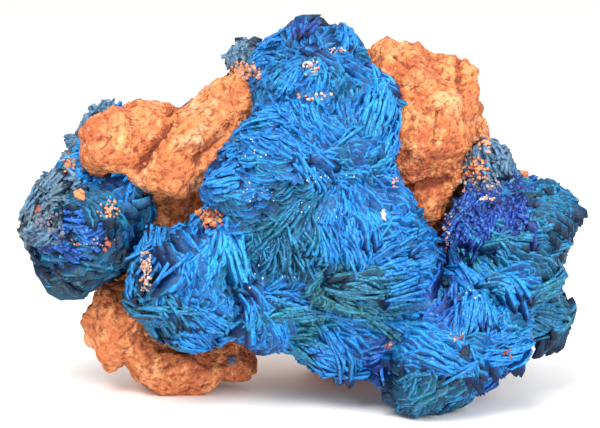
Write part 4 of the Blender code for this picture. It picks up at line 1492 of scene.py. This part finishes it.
def scatter_crumbs():
    """Crumbs of sandstone, white specks, and white specks that paint glints, all lying on the specimen."""
    chance = np.random.default_rng(CRUMB_SEED)
    dependencies = bpy.context.evaluated_depsgraph_get()
    pieces = [obj for obj in bpy.context.collection.objects if obj.name.endswith(("_blades", "sandstone"))]
    trees = [BVHTree.FromObject(piece, dependencies) for piece in pieces]
    places = []
    sizes = []
    colours = []
    for crumbs in CRUMBS.values():
        for _ in range(crumbs.count):
            scatter = np.clip(chance.normal(0.0, CRUMB_SCATTER, 2), -1.0, 1.0)
            hit = first_hit(trees, np.array(crumbs.place) + scatter * crumbs.spread)
            if hit is None:
                continue
            size = CRUMB_SHRINK * chance.uniform(*crumbs.radius)
            places.append(np.array(hit[0]) / MM + TO_CAMERA * size * CRUMB_LIFT)
            sizes.append(size)
            colours.append(CRUMB_COLOURS[chance.choice(crumbs.colours)])
    for place in contact_places(chance):
        places.append(place)
        sizes.append(chance.uniform(*SEAM_RADIUS))
        colours.append(CRUMB_COLOURS[chance.choice(SEAM_COLOURS)])
    count = len(places)
    shape, faces = model_crumb()
    shades = np.array(colours) * chance.uniform(*CRUMB_SHADE, count)[:, None]
    stretch = chance.uniform(*CRUMB_STRETCH, (count, 1, 3)) * np.array(sizes)[:, None, None]
    points = np.einsum("nij,nvj->nvi", turns(count, chance), shape[None] * stretch)
    points = points + np.array(places)[:, None]
    points[..., 2] = np.maximum(points[..., 2], FLOOR_CLEARANCE)
    mesh = mesh_of_copies("loose_crumbs", points, faces)
    add_colour(mesh, "tint", np.repeat(np.clip(shades, 0.0, 1.0), len(shape), axis=0))
    dress(add_piece("loose_crumbs", mesh), crumb_finish(), "sandstone")


def aim_at(obj, place):
    """Turns a camera or a light so that it looks at a place, in millimetres."""
    way = Vector(place * MM) - obj.location
    obj.rotation_euler = way.to_track_quat("-Z", "Y").to_euler()


def add_light(name, place, size, power, colour):
    """A round soft light, its size in millimetres, that looks at the specimen."""
    data = bpy.data.lights.new(name, "AREA")
    data.shape = "DISK"
    data.size = size * MM
    data.energy = power
    data.color = colour
    light = add_piece(name, data)
    light.location = np.array(place) * MM
    aim_at(light, np.array(LIGHT_AIM))


class GrowMainCluster(bpy.types.Operator):
    """Grows the blades of the main cluster"""

    bl_idname = "azurite.main_cluster"
    bl_label = "Main cluster"

    def execute(self, context):
        grow_cluster(MAIN_GROWTH, context.scene.specimen)
        return {"FINISHED"}


class GrowSideClusters(bpy.types.Operator):
    """Grows the blades of the left and right clusters and of the sprig"""

    bl_idname = "azurite.side_clusters"
    bl_label = "Side clusters"

    def execute(self, context):
        for growth in SIDE_GROWTHS:
            grow_cluster(growth, context.scene.specimen)
        return {"FINISHED"}


class GrowBackRosettes(bpy.types.Operator):
    """Grows the blades of the two rosettes on the back"""

    bl_idname = "azurite.back_rosettes"
    bl_label = "Back rosettes"

    def execute(self, context):
        for growth in BACK_GROWTHS:
            grow_cluster(growth, context.scene.specimen)
        return {"FINISHED"}


class WeatherSandstone(bpy.types.Operator):
    """Weathers the sandstone that carries the azurite"""

    bl_idname = "azurite.sandstone"
    bl_label = "Sandstone"

    def execute(self, context):
        weather_sandstone(context.scene.specimen)
        return {"FINISHED"}


class ScatterCrumbs(bpy.types.Operator):
    """Scatters crumbs, white specks and white specks that paint glints over the specimen"""

    bl_idname = "azurite.crumbs"
    bl_label = "Crumbs"

    def execute(self, context):
        scatter_crumbs()
        return {"FINISHED"}


class SetStage(bpy.types.Operator):
    """Sets the floor, the lights, the surround and the camera"""

    bl_idname = "azurite.stage"
    bl_label = "Stage"

    def execute(self, context):
        settings = context.scene.stage
        bpy.ops.mesh.primitive_plane_add(size=FLOOR_SIZE * MM)
        floor = context.active_object
        floor.name = "pale_floor"
        floor.data.materials.append(floor_finish(settings.floor_colour))
        add_light("key_light", KEY_PLACE, KEY_SIZE, settings.key_power, KEY_COLOUR)
        add_light("fill_light", FILL_PLACE, FILL_SIZE, settings.fill_power, FILL_COLOUR)
        world = bpy.data.worlds.new("white_surround")
        world.use_nodes = True
        background = world.node_tree.nodes["Background"]
        background.inputs["Color"].default_value = (1.0, 1.0, 1.0, 1.0)
        background.inputs["Strength"].default_value = settings.surround
        context.scene.world = world
        context.scene.view_settings.view_transform = "Standard"
        camera_data = bpy.data.cameras.new("front_camera")
        camera_data.lens = CAMERA_LENS
        camera_data.clip_start = NEAREST_SEEN
        camera = add_piece("front_camera", camera_data)
        camera.location = (CAMERA_AIM + CAMERA_DISTANCE * TO_CAMERA) * MM
        aim_at(camera, CAMERA_AIM)
        context.scene.camera = camera
        return {"FINISHED"}


OPERATORS = (GrowMainCluster, GrowSideClusters, GrowBackRosettes, WeatherSandstone, ScatterCrumbs, SetStage)


class SpecimenPanel(bpy.types.Panel):
    """Lists the steps that dress the specimen"""

    bl_idname = "VIEW3D_PT_azurite"
    bl_label = "Azurite specimen"
    bl_space_type = "VIEW_3D"
    bl_region_type = "UI"
    bl_category = "Azurite"

    def draw(self, context):
        for group in (context.scene.specimen, context.scene.stage):
            for name in group.__annotations__:
                self.layout.prop(group, name)
        for operator in OPERATORS:
            self.layout.operator(operator.bl_idname)


CLASSES = (Specimen, Stage, *OPERATORS, SpecimenPanel)


def register():
    for made in CLASSES:
        bpy.utils.register_class(made)
    bpy.types.Scene.specimen = bpy.props.PointerProperty(type=Specimen)
    bpy.types.Scene.stage = bpy.props.PointerProperty(type=Stage)


def unregister():
    del bpy.types.Scene.stage
    del bpy.types.Scene.specimen
    for made in reversed(CLASSES):
        bpy.utils.unregister_class(made)


def main():
    register()
    bpy.ops.azurite.main_cluster()
    bpy.ops.azurite.side_clusters()
    bpy.ops.azurite.back_rosettes()
    bpy.ops.azurite.sandstone()
    bpy.ops.azurite.crumbs()
    bpy.ops.azurite.stage()


if __name__ == "__main__":
    main()
